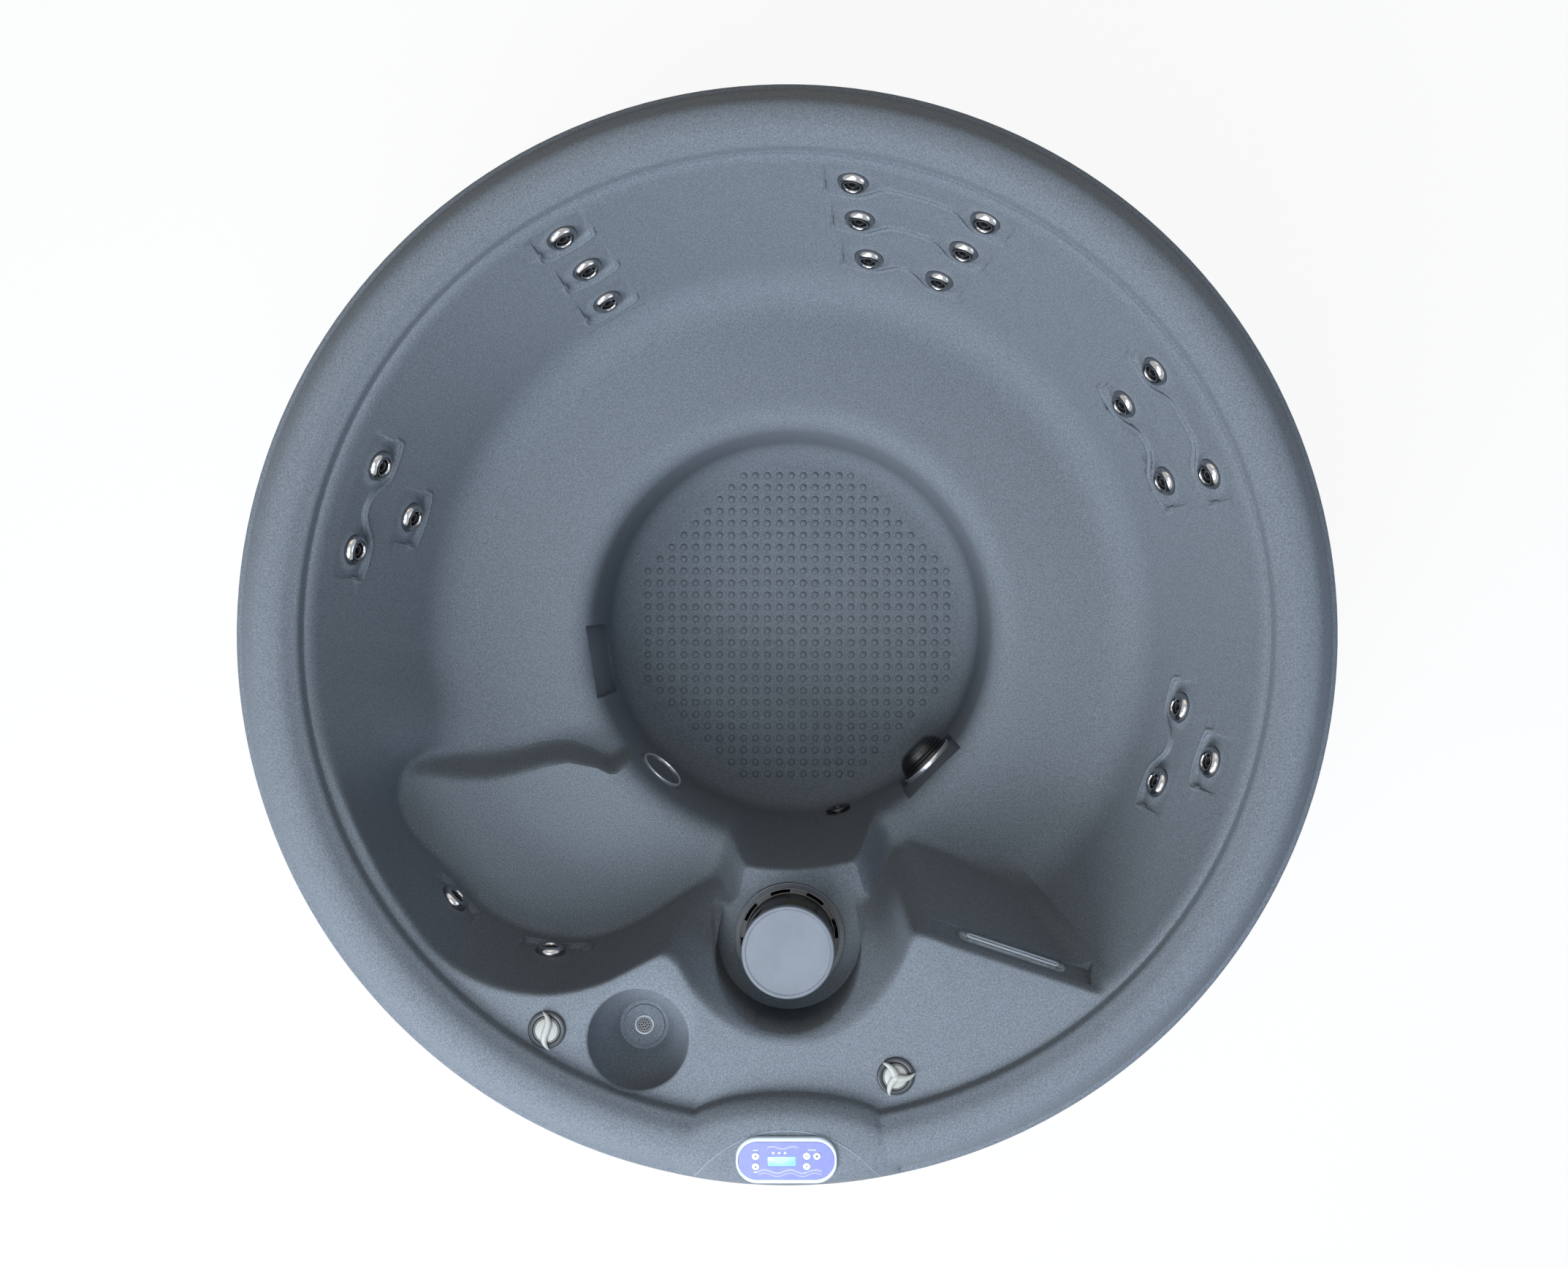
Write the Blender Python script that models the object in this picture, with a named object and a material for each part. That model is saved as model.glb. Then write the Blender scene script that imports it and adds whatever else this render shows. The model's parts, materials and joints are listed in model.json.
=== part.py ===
"""A round moulded hot tub, built piece by piece in metres with +Z up.

The tub stands on its base pan with its axis on the origin. The control panel is towards -Y.
Bearings are in degrees, counter-clockwise from +X as seen from above.
"""

from math import asin, atan2, cos, degrees, hypot, pi, radians, sin, sqrt

import bmesh
import bpy
from mathutils import Matrix, Vector
from mathutils.bvhtree import BVHTree

# Whole tub
TUB_RADIUS = 0.990
TUB_HEIGHT = 0.890
WALL = 0.009
SEAT_GAP = 0.0003
CUT_OVERRUN = 0.050

# Moulded rim
RIM_WIDTH = 0.118
LIP_DROP = 0.095
BEAD_DROP = 0.050
BEAD_DEPTH = 0.012
OPENING_BEAD_DROP = 0.024
LANDING_DROP = 0.013
LEDGE = 0.010
DECK_DROP = 0.050
BUMP_REACH = 0.054
BUMP_RISE = 0.008
BUMP_HALF_ANGLE = 12.5

# Moulded seats and footwell
BACK_LEAN = 0.165
BENCH_WIDTH = 0.247
NOSE_ROUND = 0.045
BENCH_HEIGHT = 0.440
RAISED_HEIGHT = 0.530
TOWER_HEIGHT = 0.634
TOWER_REACH = 0.020
FLOOR_HEIGHT = 0.065
EDGE_ROUND = 0.012
FOOT_ROUND = 0.035
WELL_ROUND = 0.030
LEAST_SEAT = 0.030
STEP_OFFSET = 0.265
STEP_REACH = 0.062

# Filter bay and filter
POCKET_RADIUS = 0.136
POCKET_FRONT_HALF = 0.114
POCKET_DROP = 0.004
FILTER_SET_BACK = 0.134
RING_RADIUS = 0.1055
RING_THICKNESS = 0.006
HOUSING_RADIUS = 0.0985
HOUSING_WALL = 0.003
HOUSING_DEPTH = 0.240
HOUSING_CLEARANCE = 0.0006
FILTER_SIDES = 20
WEIR_RADIUS = 0.084
WEIR_WALL = 0.004
WEIR_DROP = 0.070
WEIR_RISE = 0.132
WEIR_CLEARANCE = 0.0007
LID_OVERHANG = 0.002
LID_THICKNESS = 0.016
CARTRIDGE_RADIUS = 0.072
CARTRIDGE_LENGTH = 0.205
CARTRIDGE_CAP = 0.012
PLEAT_DEPTH = 0.009

# Ice bucket recess in the deck
BUCKET_RADIUS = 0.0905
BUCKET_DEPTH = 0.120
BUCKET_FLOOR_RADIUS = 0.048
BUCKET_NECK = 0.016
BUCKET_BEARING = 249.8
BUCKET_MARGIN = 0.002

# Diverter valves on the deck
VALVE_RADIUS = 0.034
VALVE_HEIGHT = 0.006
VALVE_DEPTH = 0.050
VALVE_BORE = 0.0245
VALVE_SLEEVE = 0.0275
KNOB_RADIUS = 0.022
KNOB_CLEARANCE = 0.0015
LEVER_HALF_LENGTH = 0.035
LEVER_WIDTH = 0.011
LEVER_HEIGHT = 0.009
VALVE_BEARINGS = (238.7, 283.8)
VALVE_MARGINS = (0.004, 0.018)

# Jets
JET_SIDES = 8
JET_RADIUS = 0.0285
JET_DOME = 0.009
JET_NOZZLE = 0.012
JET_NECK = 0.0180
JET_BORE = 0.0190
JET_DEPTH = 0.025
SPOTFACE_MARGIN = 0.0010
JET_BODY_RADIUS = 0.026
JET_BODY_LENGTH = 0.034
JET_BODY_WALL = 0.004

# Each row is two or one bearings and a height as a share of the back wall, bench to deck
JET_ROW_SHARES = (
    ((119.7,), 0.858),
    ((119.1,), 0.560),
    ((119.1,), 0.258),
    ((81.8, 64.4), 0.855),
    ((80.3, 65.4), 0.588),
    ((78.1, 67.0), 0.295),
    ((35.6, 20.7), 0.820),
    ((34.3, 21.9), 0.480),
    ((349.0, 337.7), 0.425),
    ((343.0,), 0.750),
    ((157.7, 169.1), 0.755),
    ((163.2,), 0.405),
    ((218.5, 233.1), 0.295),
)

# Fittings in the footwell
NICHE_SINK = 0.006
NICHE_HALF_WIDTH = 0.074
NICHE_LOW = 0.190
SUCTION_BEARING = 315.0
BARE_NICHE_BEARING = 189.2
SUCTION_RADIUS = 0.064
SUCTION_DOME = 0.048
SUCTION_NECK = 0.030
NECK_DEPTH = 0.034
BORE_CLEARANCE = 0.0010
LIGHT_RADIUS = 0.0475
LIGHT_DOME = 0.008
LIGHT_BEARING = 227.3
LIGHT_HEIGHT = 0.350
DRAIN_RADIUS = 0.027
DRAIN_DOME = 0.006
DRAIN_BEARING = 283.7
DRAIN_HEIGHT = 0.150

# Waterfall
FALL_BEARING = 71.9
FALL_OFFSET_SHARE = 0.506
FALL_LEAN = 0.115
FALL_PLACE_BEARING = 305.2
FALL_DROP = 0.052
STRIP_LENGTH = 0.300
STRIP_HEIGHT = 0.064
STRIP_DEPTH = 0.003
SPOUT_LENGTH = 0.205
SPOUT_HEIGHT = 0.030
SPOUT_THICKNESS = 0.005
SPOUT_SLOT = 0.005
SPOUT_POST = 0.009

# Control panel on the bump of the rim
FACET_RADIUS = 0.196
FACET_WIDTH = 0.115
FACET_TILT = 6.0
PANEL_LENGTH = 0.179
PANEL_WIDTH = 0.085
PANEL_CORNER = 0.038
PANEL_HEIGHT = 0.0075
PANEL_BORDER = 0.008
PANEL_FLOOR = 0.0030
OVERLAY_THICKNESS = 0.0030
DISPLAY_LENGTH = 0.050
DISPLAY_WIDTH = 0.018
BUTTON_RADIUS = 0.0065
BUTTON_HEIGHT = 0.0032
BUTTON_LIFT = 0.0012
BUTTON_CLEARANCE = 0.0005
DISPLAY_SHARES = (-0.046, -0.021)
BUTTON_SHARES = ((-0.305, 0.095), (-0.305, -0.125), (0.200, 0.100), (0.300, 0.100), (0.200, -0.120))

# Cabinet
OVERHANG = 0.035
SKIRT_THICKNESS = 0.012
SKIRT_TOP_DROP = 0.028
STAVE_GROOVE = 0.004
STAVE_COUNT = 32
DOOR_STAVES = 4
DOOR_LOW = 0.100
DOOR_HIGH = 0.640
DOOR_GAP = 0.0015
SCREW_RADIUS = 0.008
SCREW_HEIGHT = 0.004
SCREW_INSET = 0.040
PAN_THICKNESS = 0.010
PAN_MARGIN = 0.004
FRAME_RING_WIDTH = 0.032
FRAME_RING_HEIGHT = 0.030
POST_DEPTH = 0.045
POST_WIDTH = 0.060
POST_STAVES = (2.5, 6.5, 10.5, 14.5)
PAD_MARGIN = 0.035

# Equipment
PUMP_SET_BACK = 0.275
MOTOR_RADIUS = 0.070
MOTOR_LENGTH = 0.220
MOTOR_START = -0.120
MOTOR_FIN = 0.006
MOTOR_FOOT = 0.020
VOLUTE_RADIUS = 0.085
VOLUTE_WIDTH = 0.070
PIPE_RADIUS = 0.022
SUCTION_PIPE_RADIUS = 0.028
INLET_LENGTH = 0.045
BOX_LENGTH = 0.280
BOX_WIDTH = 0.150
BOX_HEIGHT = 0.230
BOX_SPACE = 0.060
HEATER_RADIUS = 0.030
HEATER_NUT = 0.036
HEATER_SPACE = 0.010
MANIFOLD_HEIGHT = 0.450
MANIFOLD_STEP = 15.0
MANIFOLD_STEPS = 18
BRANCH_SIDES = 6
HOSE_RADIUS = 0.011

# Worked out from the sizes above
OPENING_RADIUS = TUB_RADIUS - RIM_WIDTH
LEDGE_RADIUS = OPENING_RADIUS - LEDGE
DECK_HEIGHT = TUB_HEIGHT - DECK_DROP
BENCH_FOOT_RADIUS = LEDGE_RADIUS - BACK_LEAN
NOSE_RADIUS = BENCH_FOOT_RADIUS - BENCH_WIDTH
WELL_RADIUS = NOSE_RADIUS - NOSE_ROUND
STEP_OUTER_RADIUS = LEDGE_RADIUS - STEP_REACH
STEP_EDGE_BEARING = 181.0 + degrees(asin(STEP_OFFSET / STEP_OUTER_RADIUS))
POCKET_FLOOR = TOWER_HEIGHT - POCKET_DROP
FILTER_PLACE = Vector((0.0, -NOSE_RADIUS - FILTER_SET_BACK, POCKET_FLOOR))
SKIRT_RADIUS = TUB_RADIUS - OVERHANG
SKIRT_INNER_RADIUS = SKIRT_RADIUS - SKIRT_THICKNESS
PAN_TOP = PAN_THICKNESS + SEAT_GAP
LANDING_HEIGHT = TUB_HEIGHT - LANDING_DROP
FACET_REACH = TUB_RADIUS - FACET_WIDTH
FRAME_RING_TOP = LANDING_HEIGHT - SEAT_GAP
POST_FACE = SKIRT_INNER_RADIUS * cos(pi / STAVE_COUNT) - SEAT_GAP
JET_SEAT = WALL / 4

# Station lines of the mould: plain ones round the bench, close ones round the deck
BENCH_START_BEARING = -45.0
BENCH_END_BEARING = 192.0
BENCH_LINES = 26
COVE_LINES = 13
PANEL_SIDE_LINES = 8
STEP_LINE_SPACE = 3.0
BEND_START_BEARING = 165.0
BEND_END_BEARING = 245.0

# Bearing and share of the opening radius, along the inner edge of the deck
DECK_EDGE_SHARES = (
    (192.0, 0.988), (204.0, 0.977), (215.0, 0.980), (224.0, 0.978), (229.3, 0.954), (236.0, 0.897),
    (242.0, 0.817), (246.4, 0.742), (248.5, 0.713), (251.0, 0.716), (255.0, 0.760), (261.0, 0.811),
    (266.8, 0.837), (271.0, 0.842), (275.4, 0.838), (280.6, 0.807), (285.7, 0.764), (289.7, 0.718),
    (293.0, 0.679), (295.5, 0.690),
)
# Bearing and share of the opening radius, along the outer edge of the seats
SEAT_FOOT_SHARES = (
    (180.0, 0.799), (196.0, 0.850), (199.0, 0.912), (217.0, 0.930), (223.0, 0.921), (229.6, 0.885),
    (236.0, 0.830), (242.0, 0.742), (248.0, 0.634), (253.0, 0.572), (261.0, 0.585), (284.0, 0.585),
    (290.0, 0.560), (295.5, 0.540),
)
# Bearing and share of the way from the bench, or the raised seat, up to the filter tower
TOWER_SHARES = ((252.0, 0.0), (260.0, 1.0), (286.0, 1.0), (295.0, 0.0))


def clear_scene():
    for old in list(bpy.data.objects):
        bpy.data.objects.remove(old)


def material(name, colour, roughness, metallic=0.0):
    made = bpy.data.materials.get(name) or bpy.data.materials.new(name)
    made.use_nodes = True
    shader = made.node_tree.nodes["Principled BSDF"]
    shader.inputs["Base Color"].default_value = (*colour, 1.0)
    shader.inputs["Roughness"].default_value = roughness
    shader.inputs["Metallic"].default_value = metallic
    return made


def moulded_plastic():
    return material("granite_plastic", (0.17, 0.185, 0.20), 0.65)


def chrome():
    return material("chrome", (0.80, 0.80, 0.80), 0.12, 1.0)


def black_plastic():
    return material("black_plastic", (0.02, 0.02, 0.022), 0.40)


def pale_plastic():
    return material("pale_plastic", (0.55, 0.54, 0.50), 0.45)


def pipe_plastic():
    return material("pipe_plastic", (0.75, 0.75, 0.73), 0.45)


def steel():
    return material("steel", (0.45, 0.46, 0.48), 0.35, 1.0)


def timber():
    return material("timber", (0.52, 0.38, 0.22), 0.75)


def polar(radius, bearing, height=0.0):
    angle = radians(bearing)
    return Vector((radius * cos(angle), radius * sin(angle), height))


def at_bearing(rows, bearing):
    """Value between the rows of a table of bearings and values."""
    if bearing <= rows[0][0]:
        return rows[0][1]
    for (low, first), (high, second) in zip(rows, rows[1:]):
        if bearing <= high:
            return first + (second - first) * (bearing - low) / (high - low)
    return rows[-1][1]


def finish(name, mesh, surface, place=None):
    """Link a mesh as a named object, faces outwards, round sides smooth."""
    bmesh.ops.recalc_face_normals(mesh, faces=mesh.faces)
    data = bpy.data.meshes.new(name)
    mesh.to_mesh(data)
    mesh.free()
    made = bpy.data.objects.new(name, data)
    bpy.context.scene.collection.objects.link(made)
    if surface:
        data.materials.append(surface)
        data.shade_smooth()
        data.set_sharp_from_angle(angle=radians(35.0))
    if place:
        made.matrix_world = place
    return made


def ring_faces(mesh, lower, upper):
    count = len(lower)
    for i in range(count):
        mesh.faces.new((lower[i], lower[(i + 1) % count], upper[(i + 1) % count], upper[i]))


def loft(sections):
    """Closed body through rings of equal length, flat at both ends."""
    mesh = bmesh.new()
    rings = [[mesh.verts.new(point) for point in section] for section in sections]
    for lower, upper in zip(rings, rings[1:]):
        ring_faces(mesh, lower, upper)
    mesh.faces.new(rings[0][::-1])
    mesh.faces.new(rings[-1])
    return mesh


def prism(outline, low, high):
    return loft([[Vector((x, y, z)) for x, y in outline] for z in (low, high)])


def turned(profile, sides, start=0.0):
    """Body turned about Z from a run of (radius, height). A run that starts off the axis closes on itself."""
    mesh = bmesh.new()
    rings = []
    for radius, height in profile:
        if radius == 0.0:
            rings.append([mesh.verts.new((0.0, 0.0, height))])
        else:
            turns = [radians(start) + 2 * pi * i / sides for i in range(sides)]
            rings.append([mesh.verts.new((radius * cos(a), radius * sin(a), height)) for a in turns])
    pairs = list(zip(rings, rings[1:]))
    if len(rings[0]) > 1:
        pairs.append((rings[-1], rings[0]))
    for lower, upper in pairs:
        if len(lower) == 1:
            for i in range(sides):
                mesh.faces.new((lower[0], upper[i], upper[(i + 1) % sides]))
        elif len(upper) == 1:
            for i in range(sides):
                mesh.faces.new((lower[i], lower[(i + 1) % sides], upper[0]))
        else:
            ring_faces(mesh, lower, upper)
    return mesh


def block(low, high):
    outline = ((low[0], low[1]), (high[0], low[1]), (high[0], high[1]), (low[0], high[1]))
    return prism(outline, low[2], high[2])


def piped(points, radius, sides):
    """Solid pipe along a run of points, its rings on the bisecting planes."""
    sections = []
    up = Vector((0.0, 0.0, 1.0))
    for i, point in enumerate(points):
        before = (point - points[i - 1]).normalized() if i else None
        after = (points[i + 1] - point).normalized() if i + 1 < len(points) else None
        along = ((before or after) + (after or before)).normalized()
        if i == 0:
            side = along.cross(up) if abs(along.z) < 0.9 else along.cross(Vector((0.0, 1.0, 0.0)))
        side = (side - along * side.dot(along)).normalized()
        other = along.cross(side)
        turns = [2 * pi * k / sides for k in range(sides)]
        sections.append([point + (side * cos(a) + other * sin(a)) * radius for a in turns])
    mesh = loft(sections)
    bmesh.ops.triangulate(mesh, faces=mesh.faces)
    return mesh


def drill(radius, sides, reach=CUT_OVERRUN):
    """Drill through the local origin, its flats clear of a round neck."""
    corner = radius / cos(pi / sides)
    return turned([(0.0, -reach), (corner, -reach), (corner, reach), (0.0, reach)], sides)


def moved(mesh, place):
    bmesh.ops.transform(mesh, matrix=place, verts=mesh.verts)
    return mesh


def joined(meshes):
    """One mesh that holds several closed bodies, which don't meet."""
    whole = bmesh.new()
    for mesh in meshes:
        data = bpy.data.meshes.new("body")
        mesh.to_mesh(data)
        mesh.free()
        whole.from_mesh(data)
        bpy.data.meshes.remove(data)
    return whole


def combine(target, mesh, operation):
    """Boolean of an object with a mesh, applied at once."""
    tool = finish("tool", mesh, None)
    cut = target.modifiers.new("cut", "BOOLEAN")
    cut.operation = operation
    cut.object = tool
    shaped = target.evaluated_get(bpy.context.evaluated_depsgraph_get())
    data = bpy.data.meshes.new_from_object(shaped)
    target.modifiers.remove(cut)
    target.data = data
    bpy.data.objects.remove(tool)
    return target


def frame_at(point, normal):
    """Placing matrix with local Z along a normal."""
    turn = normal.to_track_quat("Z", "Y").to_matrix().to_4x4()
    return Matrix.Translation(point) @ turn


def circle(radius, count, centre=(0.0, 0.0), start=0.0):
    turns = [radians(start) + 2 * pi * i / count for i in range(count)]
    return [(centre[0] + radius * cos(a), centre[1] + radius * sin(a)) for a in turns]


def rounded_rectangle(length, width, corner, steps=3):
    outline = []
    for quarter, (sx, sy) in enumerate(((1, 1), (-1, 1), (-1, -1), (1, -1))):
        centre = (sx * (length / 2 - corner), sy * (width / 2 - corner))
        for i in range(steps + 1):
            angle = (quarter + i / steps) * pi / 2
            outline.append((centre[0] + corner * cos(angle), centre[1] + corner * sin(angle)))
    return outline


# The mould: its form at any bearing


def bump_share(bearing):
    """Share of the control panel's bump on the rim at a bearing."""
    away = abs((bearing - 270.0 + 180.0) % 360.0 - 180.0) / BUMP_HALF_ANGLE
    return sqrt(1 - away * away) if away < 1 else 0.0


def in_deck_zone(bearing):
    return BENCH_END_BEARING <= bearing <= 360.0 + BENCH_START_BEARING


def fall_line(offset, bearing):
    """Radius at which the straight waterfall wall stands, at a bearing."""
    facing = -cos(radians(bearing - FALL_BEARING))
    return offset / facing if facing > 0.1 else TUB_RADIUS


def deck_edge(bearing):
    if not in_deck_zone(bearing):
        return LEDGE_RADIUS
    line = fall_line(OPENING_RADIUS * FALL_OFFSET_SHARE, bearing)
    if bearing > DECK_EDGE_SHARES[-1][0]:
        return min(line, LEDGE_RADIUS)
    return min(OPENING_RADIUS * at_bearing(DECK_EDGE_SHARES, bearing), LEDGE_RADIUS)


def seat_foot(bearing):
    if bearing < SEAT_FOOT_SHARES[0][0] or not in_deck_zone(bearing):
        foot = BENCH_FOOT_RADIUS
    elif bearing > SEAT_FOOT_SHARES[-1][0]:
        foot = min(fall_line(OPENING_RADIUS * FALL_OFFSET_SHARE - FALL_LEAN, bearing), BENCH_FOOT_RADIUS)
    else:
        foot = OPENING_RADIUS * at_bearing(SEAT_FOOT_SHARES, bearing)
    return max(foot, nose_radius(bearing) + LEAST_SEAT)


def seat_height(bearing):
    if not in_deck_zone(bearing) or bearing < STEP_EDGE_BEARING:
        return BENCH_HEIGHT
    start = RAISED_HEIGHT if bearing < 270.0 else BENCH_HEIGHT
    return start + (TOWER_HEIGHT - start) * at_bearing(TOWER_SHARES, bearing)


def nose_radius(bearing):
    return NOSE_RADIUS + (TOWER_REACH * at_bearing(TOWER_SHARES, bearing) if in_deck_zone(bearing) else 0.0)


def rim_points(bump):
    outer = TUB_RADIUS
    bead = TUB_HEIGHT - BEAD_DROP
    inner = OPENING_RADIUS - bump * BUMP_REACH
    top = TUB_HEIGHT + bump * BUMP_RISE
    width = RIM_WIDTH
    return [
        (outer, TUB_HEIGHT - LIP_DROP),
        (outer, bead),
        (outer - BEAD_DEPTH, bead + BEAD_DEPTH / 4),
        (outer - width * 0.19, top - BEAD_DROP * (0.55 - 0.25 * bump)),
        (outer - width * 0.34, top - BEAD_DROP * 0.10),
        (outer - width * 0.53, top),
        (inner + width * 0.25, top - BEAD_DROP * 0.07),
        (inner + width * 0.09, top - BEAD_DROP * 0.36),
        (inner, DECK_HEIGHT + OPENING_BEAD_DROP),
        (inner - LEDGE / 3, DECK_HEIGHT),
    ]


def basin_points(bearing):
    edge = deck_edge(bearing)
    foot = seat_foot(bearing)
    level = seat_height(bearing)
    nose = nose_radius(bearing)
    lean = (edge - foot) / (DECK_HEIGHT - level)
    return [
        (edge, DECK_HEIGHT),
        (edge - EDGE_ROUND * (0.4 + lean), DECK_HEIGHT - EDGE_ROUND),
        (foot + FOOT_ROUND * lean, level + FOOT_ROUND),
        (foot - min(FOOT_ROUND, (foot - nose) / 2), level),
        (nose, level),
        (nose - NOSE_ROUND, level - NOSE_ROUND),
        (WELL_RADIUS, FLOOR_HEIGHT + WELL_ROUND),
        (WELL_RADIUS - WELL_ROUND, FLOOR_HEIGHT),
    ]


def set_back(points, depth):
    """The same run, one wall deeper, mitred at each point."""
    sunk = []
    for i in range(1, len(points) - 1):
        (r0, z0), (r1, z1), (r2, z2) = points[i - 1:i + 2]
        first = hypot(r1 - r0, z1 - z0)
        second = hypot(r2 - r1, z2 - z1)
        ar, az = -(z1 - z0) / first, (r1 - r0) / first
        br, bz = -(z2 - z1) / second, (r2 - r1) / second
        scale = depth / max(1 + ar * br + az * bz, 0.5)
        sunk.append((r1 + (ar + br) * scale, z1 + (az + bz) * scale))
    return sunk


def under_points(bearing):
    """Underside of the mould: a plain flat landing under the rim, then one wall below the basin."""
    bump = bump_share(bearing)
    inner = OPENING_RADIUS - bump * BUMP_REACH
    outer = TUB_RADIUS
    rim = rim_points(bump)
    basin = set_back(rim[-2:] + basin_points(bearing) + [(0.0, FLOOR_HEIGHT)], WALL)
    return [
        (outer - WALL, TUB_HEIGHT - BEAD_DROP - WALL),
        (outer - RIM_WIDTH * 0.34, LANDING_HEIGHT),
        (inner + RIM_WIDTH * 0.25, LANDING_HEIGHT),
    ] + basin


def station_bearings():
    bench = [BENCH_START_BEARING + (BENCH_END_BEARING - BENCH_START_BEARING) * i / BENCH_LINES
             for i in range(BENCH_LINES + 1)]
    foot = STEP_EDGE_BEARING - STEP_LINE_SPACE
    cove = [STEP_EDGE_BEARING + (270.0 - STEP_EDGE_BEARING) * i / COVE_LINES for i in range(COVE_LINES)]
    last = 90.0 + BENCH_START_BEARING
    beyond = [270.0 + last * i / PANEL_SIDE_LINES for i in range(PANEL_SIDE_LINES)]
    return bench + [foot] + cove + beyond


def bent_bearing(bearing, radius):
    """Bearing of a station line at a radius: lines by the raised seat lean with its straight step."""
    foot = STEP_EDGE_BEARING - STEP_LINE_SPACE
    if bearing <= BEND_START_BEARING or bearing >= BEND_END_BEARING:
        return bearing
    if bearing < foot:
        share = (bearing - BEND_START_BEARING) / (foot - BEND_START_BEARING)
    elif bearing > STEP_EDGE_BEARING:
        share = (BEND_END_BEARING - bearing) / (BEND_END_BEARING - STEP_EDGE_BEARING)
    else:
        share = 1.0
    reach = min(max(radius, NOSE_RADIUS), STEP_OUTER_RADIUS)
    lean = asin(min(STEP_OFFSET / reach, 1.0)) - asin(STEP_OFFSET / STEP_OUTER_RADIUS)
    return bearing + share * degrees(lean)


def mould_body(run_at, outer_run, bottom):
    """Solid block under a run of points taken at each station line."""
    mesh = bmesh.new()
    lines = station_bearings()
    columns = []
    for bearing in lines:
        run = outer_run + run_at(bearing)
        columns.append([mesh.verts.new(polar(r, bent_bearing(bearing, r), z)) for r, z in run])
    centre_height = columns[0][-1].co.z
    centre = mesh.verts.new((0.0, 0.0, centre_height))
    under = mesh.verts.new((0.0, 0.0, bottom))
    for first, second in zip(columns, columns[1:] + columns[:1]):
        for i in range(len(first) - 1):
            mesh.faces.new((first[i], second[i], second[i + 1], first[i + 1]))
        mesh.faces.new((first[-1], second[-1], centre))
        mesh.faces.new((second[0], first[0], under))
    bmesh.ops.triangulate(mesh, faces=mesh.faces)
    return mesh


def mould_solid():
    bottom = FLOOR_HEIGHT / 2
    return mould_body(lambda b: rim_points(bump_share(b)) + basin_points(b), [(TUB_RADIUS, bottom)], bottom)


def mould_void():
    bottom = -CUT_OVERRUN
    lip = TUB_HEIGHT - LIP_DROP
    beyond = TUB_RADIUS + CUT_OVERRUN
    run = [(beyond, bottom), (beyond, lip), (TUB_RADIUS - WALL, lip)]
    return mould_body(under_points, run, bottom)


def pocket_cut(grow):
    """Filter bay: a U in plan, open towards the well."""
    radius = POCKET_RADIUS + grow
    front = POCKET_FRONT_HALF + grow
    depth = FILTER_PLACE.y
    mouth = WALL - NOSE_RADIUS
    outline = [(front, mouth)]
    outline += [(radius * cos(a), depth + radius * sin(a)) for a in [-pi * i / 12 for i in range(13)]]
    outline += [(-front, mouth)]
    return prism(outline, POCKET_FLOOR - grow, TUB_HEIGHT + CUT_OVERRUN)


def bucket_place():
    reach = OPENING_RADIUS - LEDGE / 3 - BUCKET_RADIUS - BUCKET_MARGIN
    return Matrix.Translation(polar(reach, BUCKET_BEARING, DECK_HEIGHT))


def bucket_cut(grow):
    top = BUCKET_RADIUS + grow
    floor = BUCKET_FLOOR_RADIUS + grow
    depth = BUCKET_DEPTH + grow
    profile = [(0.0, -depth), (floor, -depth), (top - BUCKET_RADIUS * 0.14, -BUCKET_DEPTH * 0.55),
               (top, -BUCKET_DEPTH * 0.12), (top, CUT_OVERRUN), (0.0, CUT_OVERRUN)]
    return moved(turned(profile, 16), bucket_place())


def niche_cut(bearing, grow):
    """Flat niche in the footwell wall, round below and open above."""
    half = NICHE_HALF_WIDTH + grow
    plane = WELL_RADIUS + NICHE_SINK + grow
    outline = [(half * cos(a), NICHE_LOW + half * sin(a)) for a in [-pi * i / 8 for i in range(9)]]
    outline += [(-half, BENCH_HEIGHT + CUT_OVERRUN), (half, BENCH_HEIGHT + CUT_OVERRUN)]
    stand = Matrix(((0, 0, 1, 0), (1, 0, 0, 0), (0, 1, 0, 0), (0, 0, 0, 1)))
    return moved(prism(outline, WELL_RADIUS / 2, plane), Matrix.Rotation(radians(bearing), 4, "Z") @ stand)


def facet_place():
    """Tilted flat on the bump, whose inner arc starts at the facet's reach."""
    start = Vector((0.0, -FACET_REACH, TUB_HEIGHT + BUMP_RISE))
    return Matrix.Translation(start) @ Matrix.Rotation(radians(FACET_TILT), 4, "X")


def facet_cut():
    disc = turned([(0.0, 0.0), (FACET_RADIUS, 0.0), (FACET_RADIUS, CUT_OVERRUN), (0.0, CUT_OVERRUN)], 24)
    return moved(disc, facet_place() @ Matrix.Translation((0.0, -FACET_RADIUS, 0.0)))


def panel_place():
    span = TUB_RADIUS - BEAD_DEPTH - FACET_REACH
    return facet_place() @ Matrix.Translation((0.0, -span / 2, SEAT_GAP))


class Mould:
    """The shell's two surfaces, kept for placing what seats on them."""

    def __init__(self):
        self.solid = finish("solid", mould_solid(), None)
        self.void = finish("void", mould_void(), None)
        self.top = self.tree(self.solid)
        self.under = self.tree(self.void)

    def tree(self, made):
        data = made.data
        corners = [vertex.co.copy() for vertex in data.vertices]
        return BVHTree.FromPolygons(corners, [tuple(face.vertices) for face in data.polygons])

    def wall(self, bearing, height):
        """Point on the inner wall and the direction that it faces."""
        point, normal, _, _ = self.top.ray_cast(Vector((0.0, 0.0, height)), polar(1.0, bearing))
        if normal.dot(polar(1.0, bearing)) > 0:
            normal = -normal
        return point, normal

    def back(self, point, normal):
        """Point straight behind a place on the wall, on the shell's underside."""
        found, _, _, _ = self.under.ray_cast(point, -normal)
        return found


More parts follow.
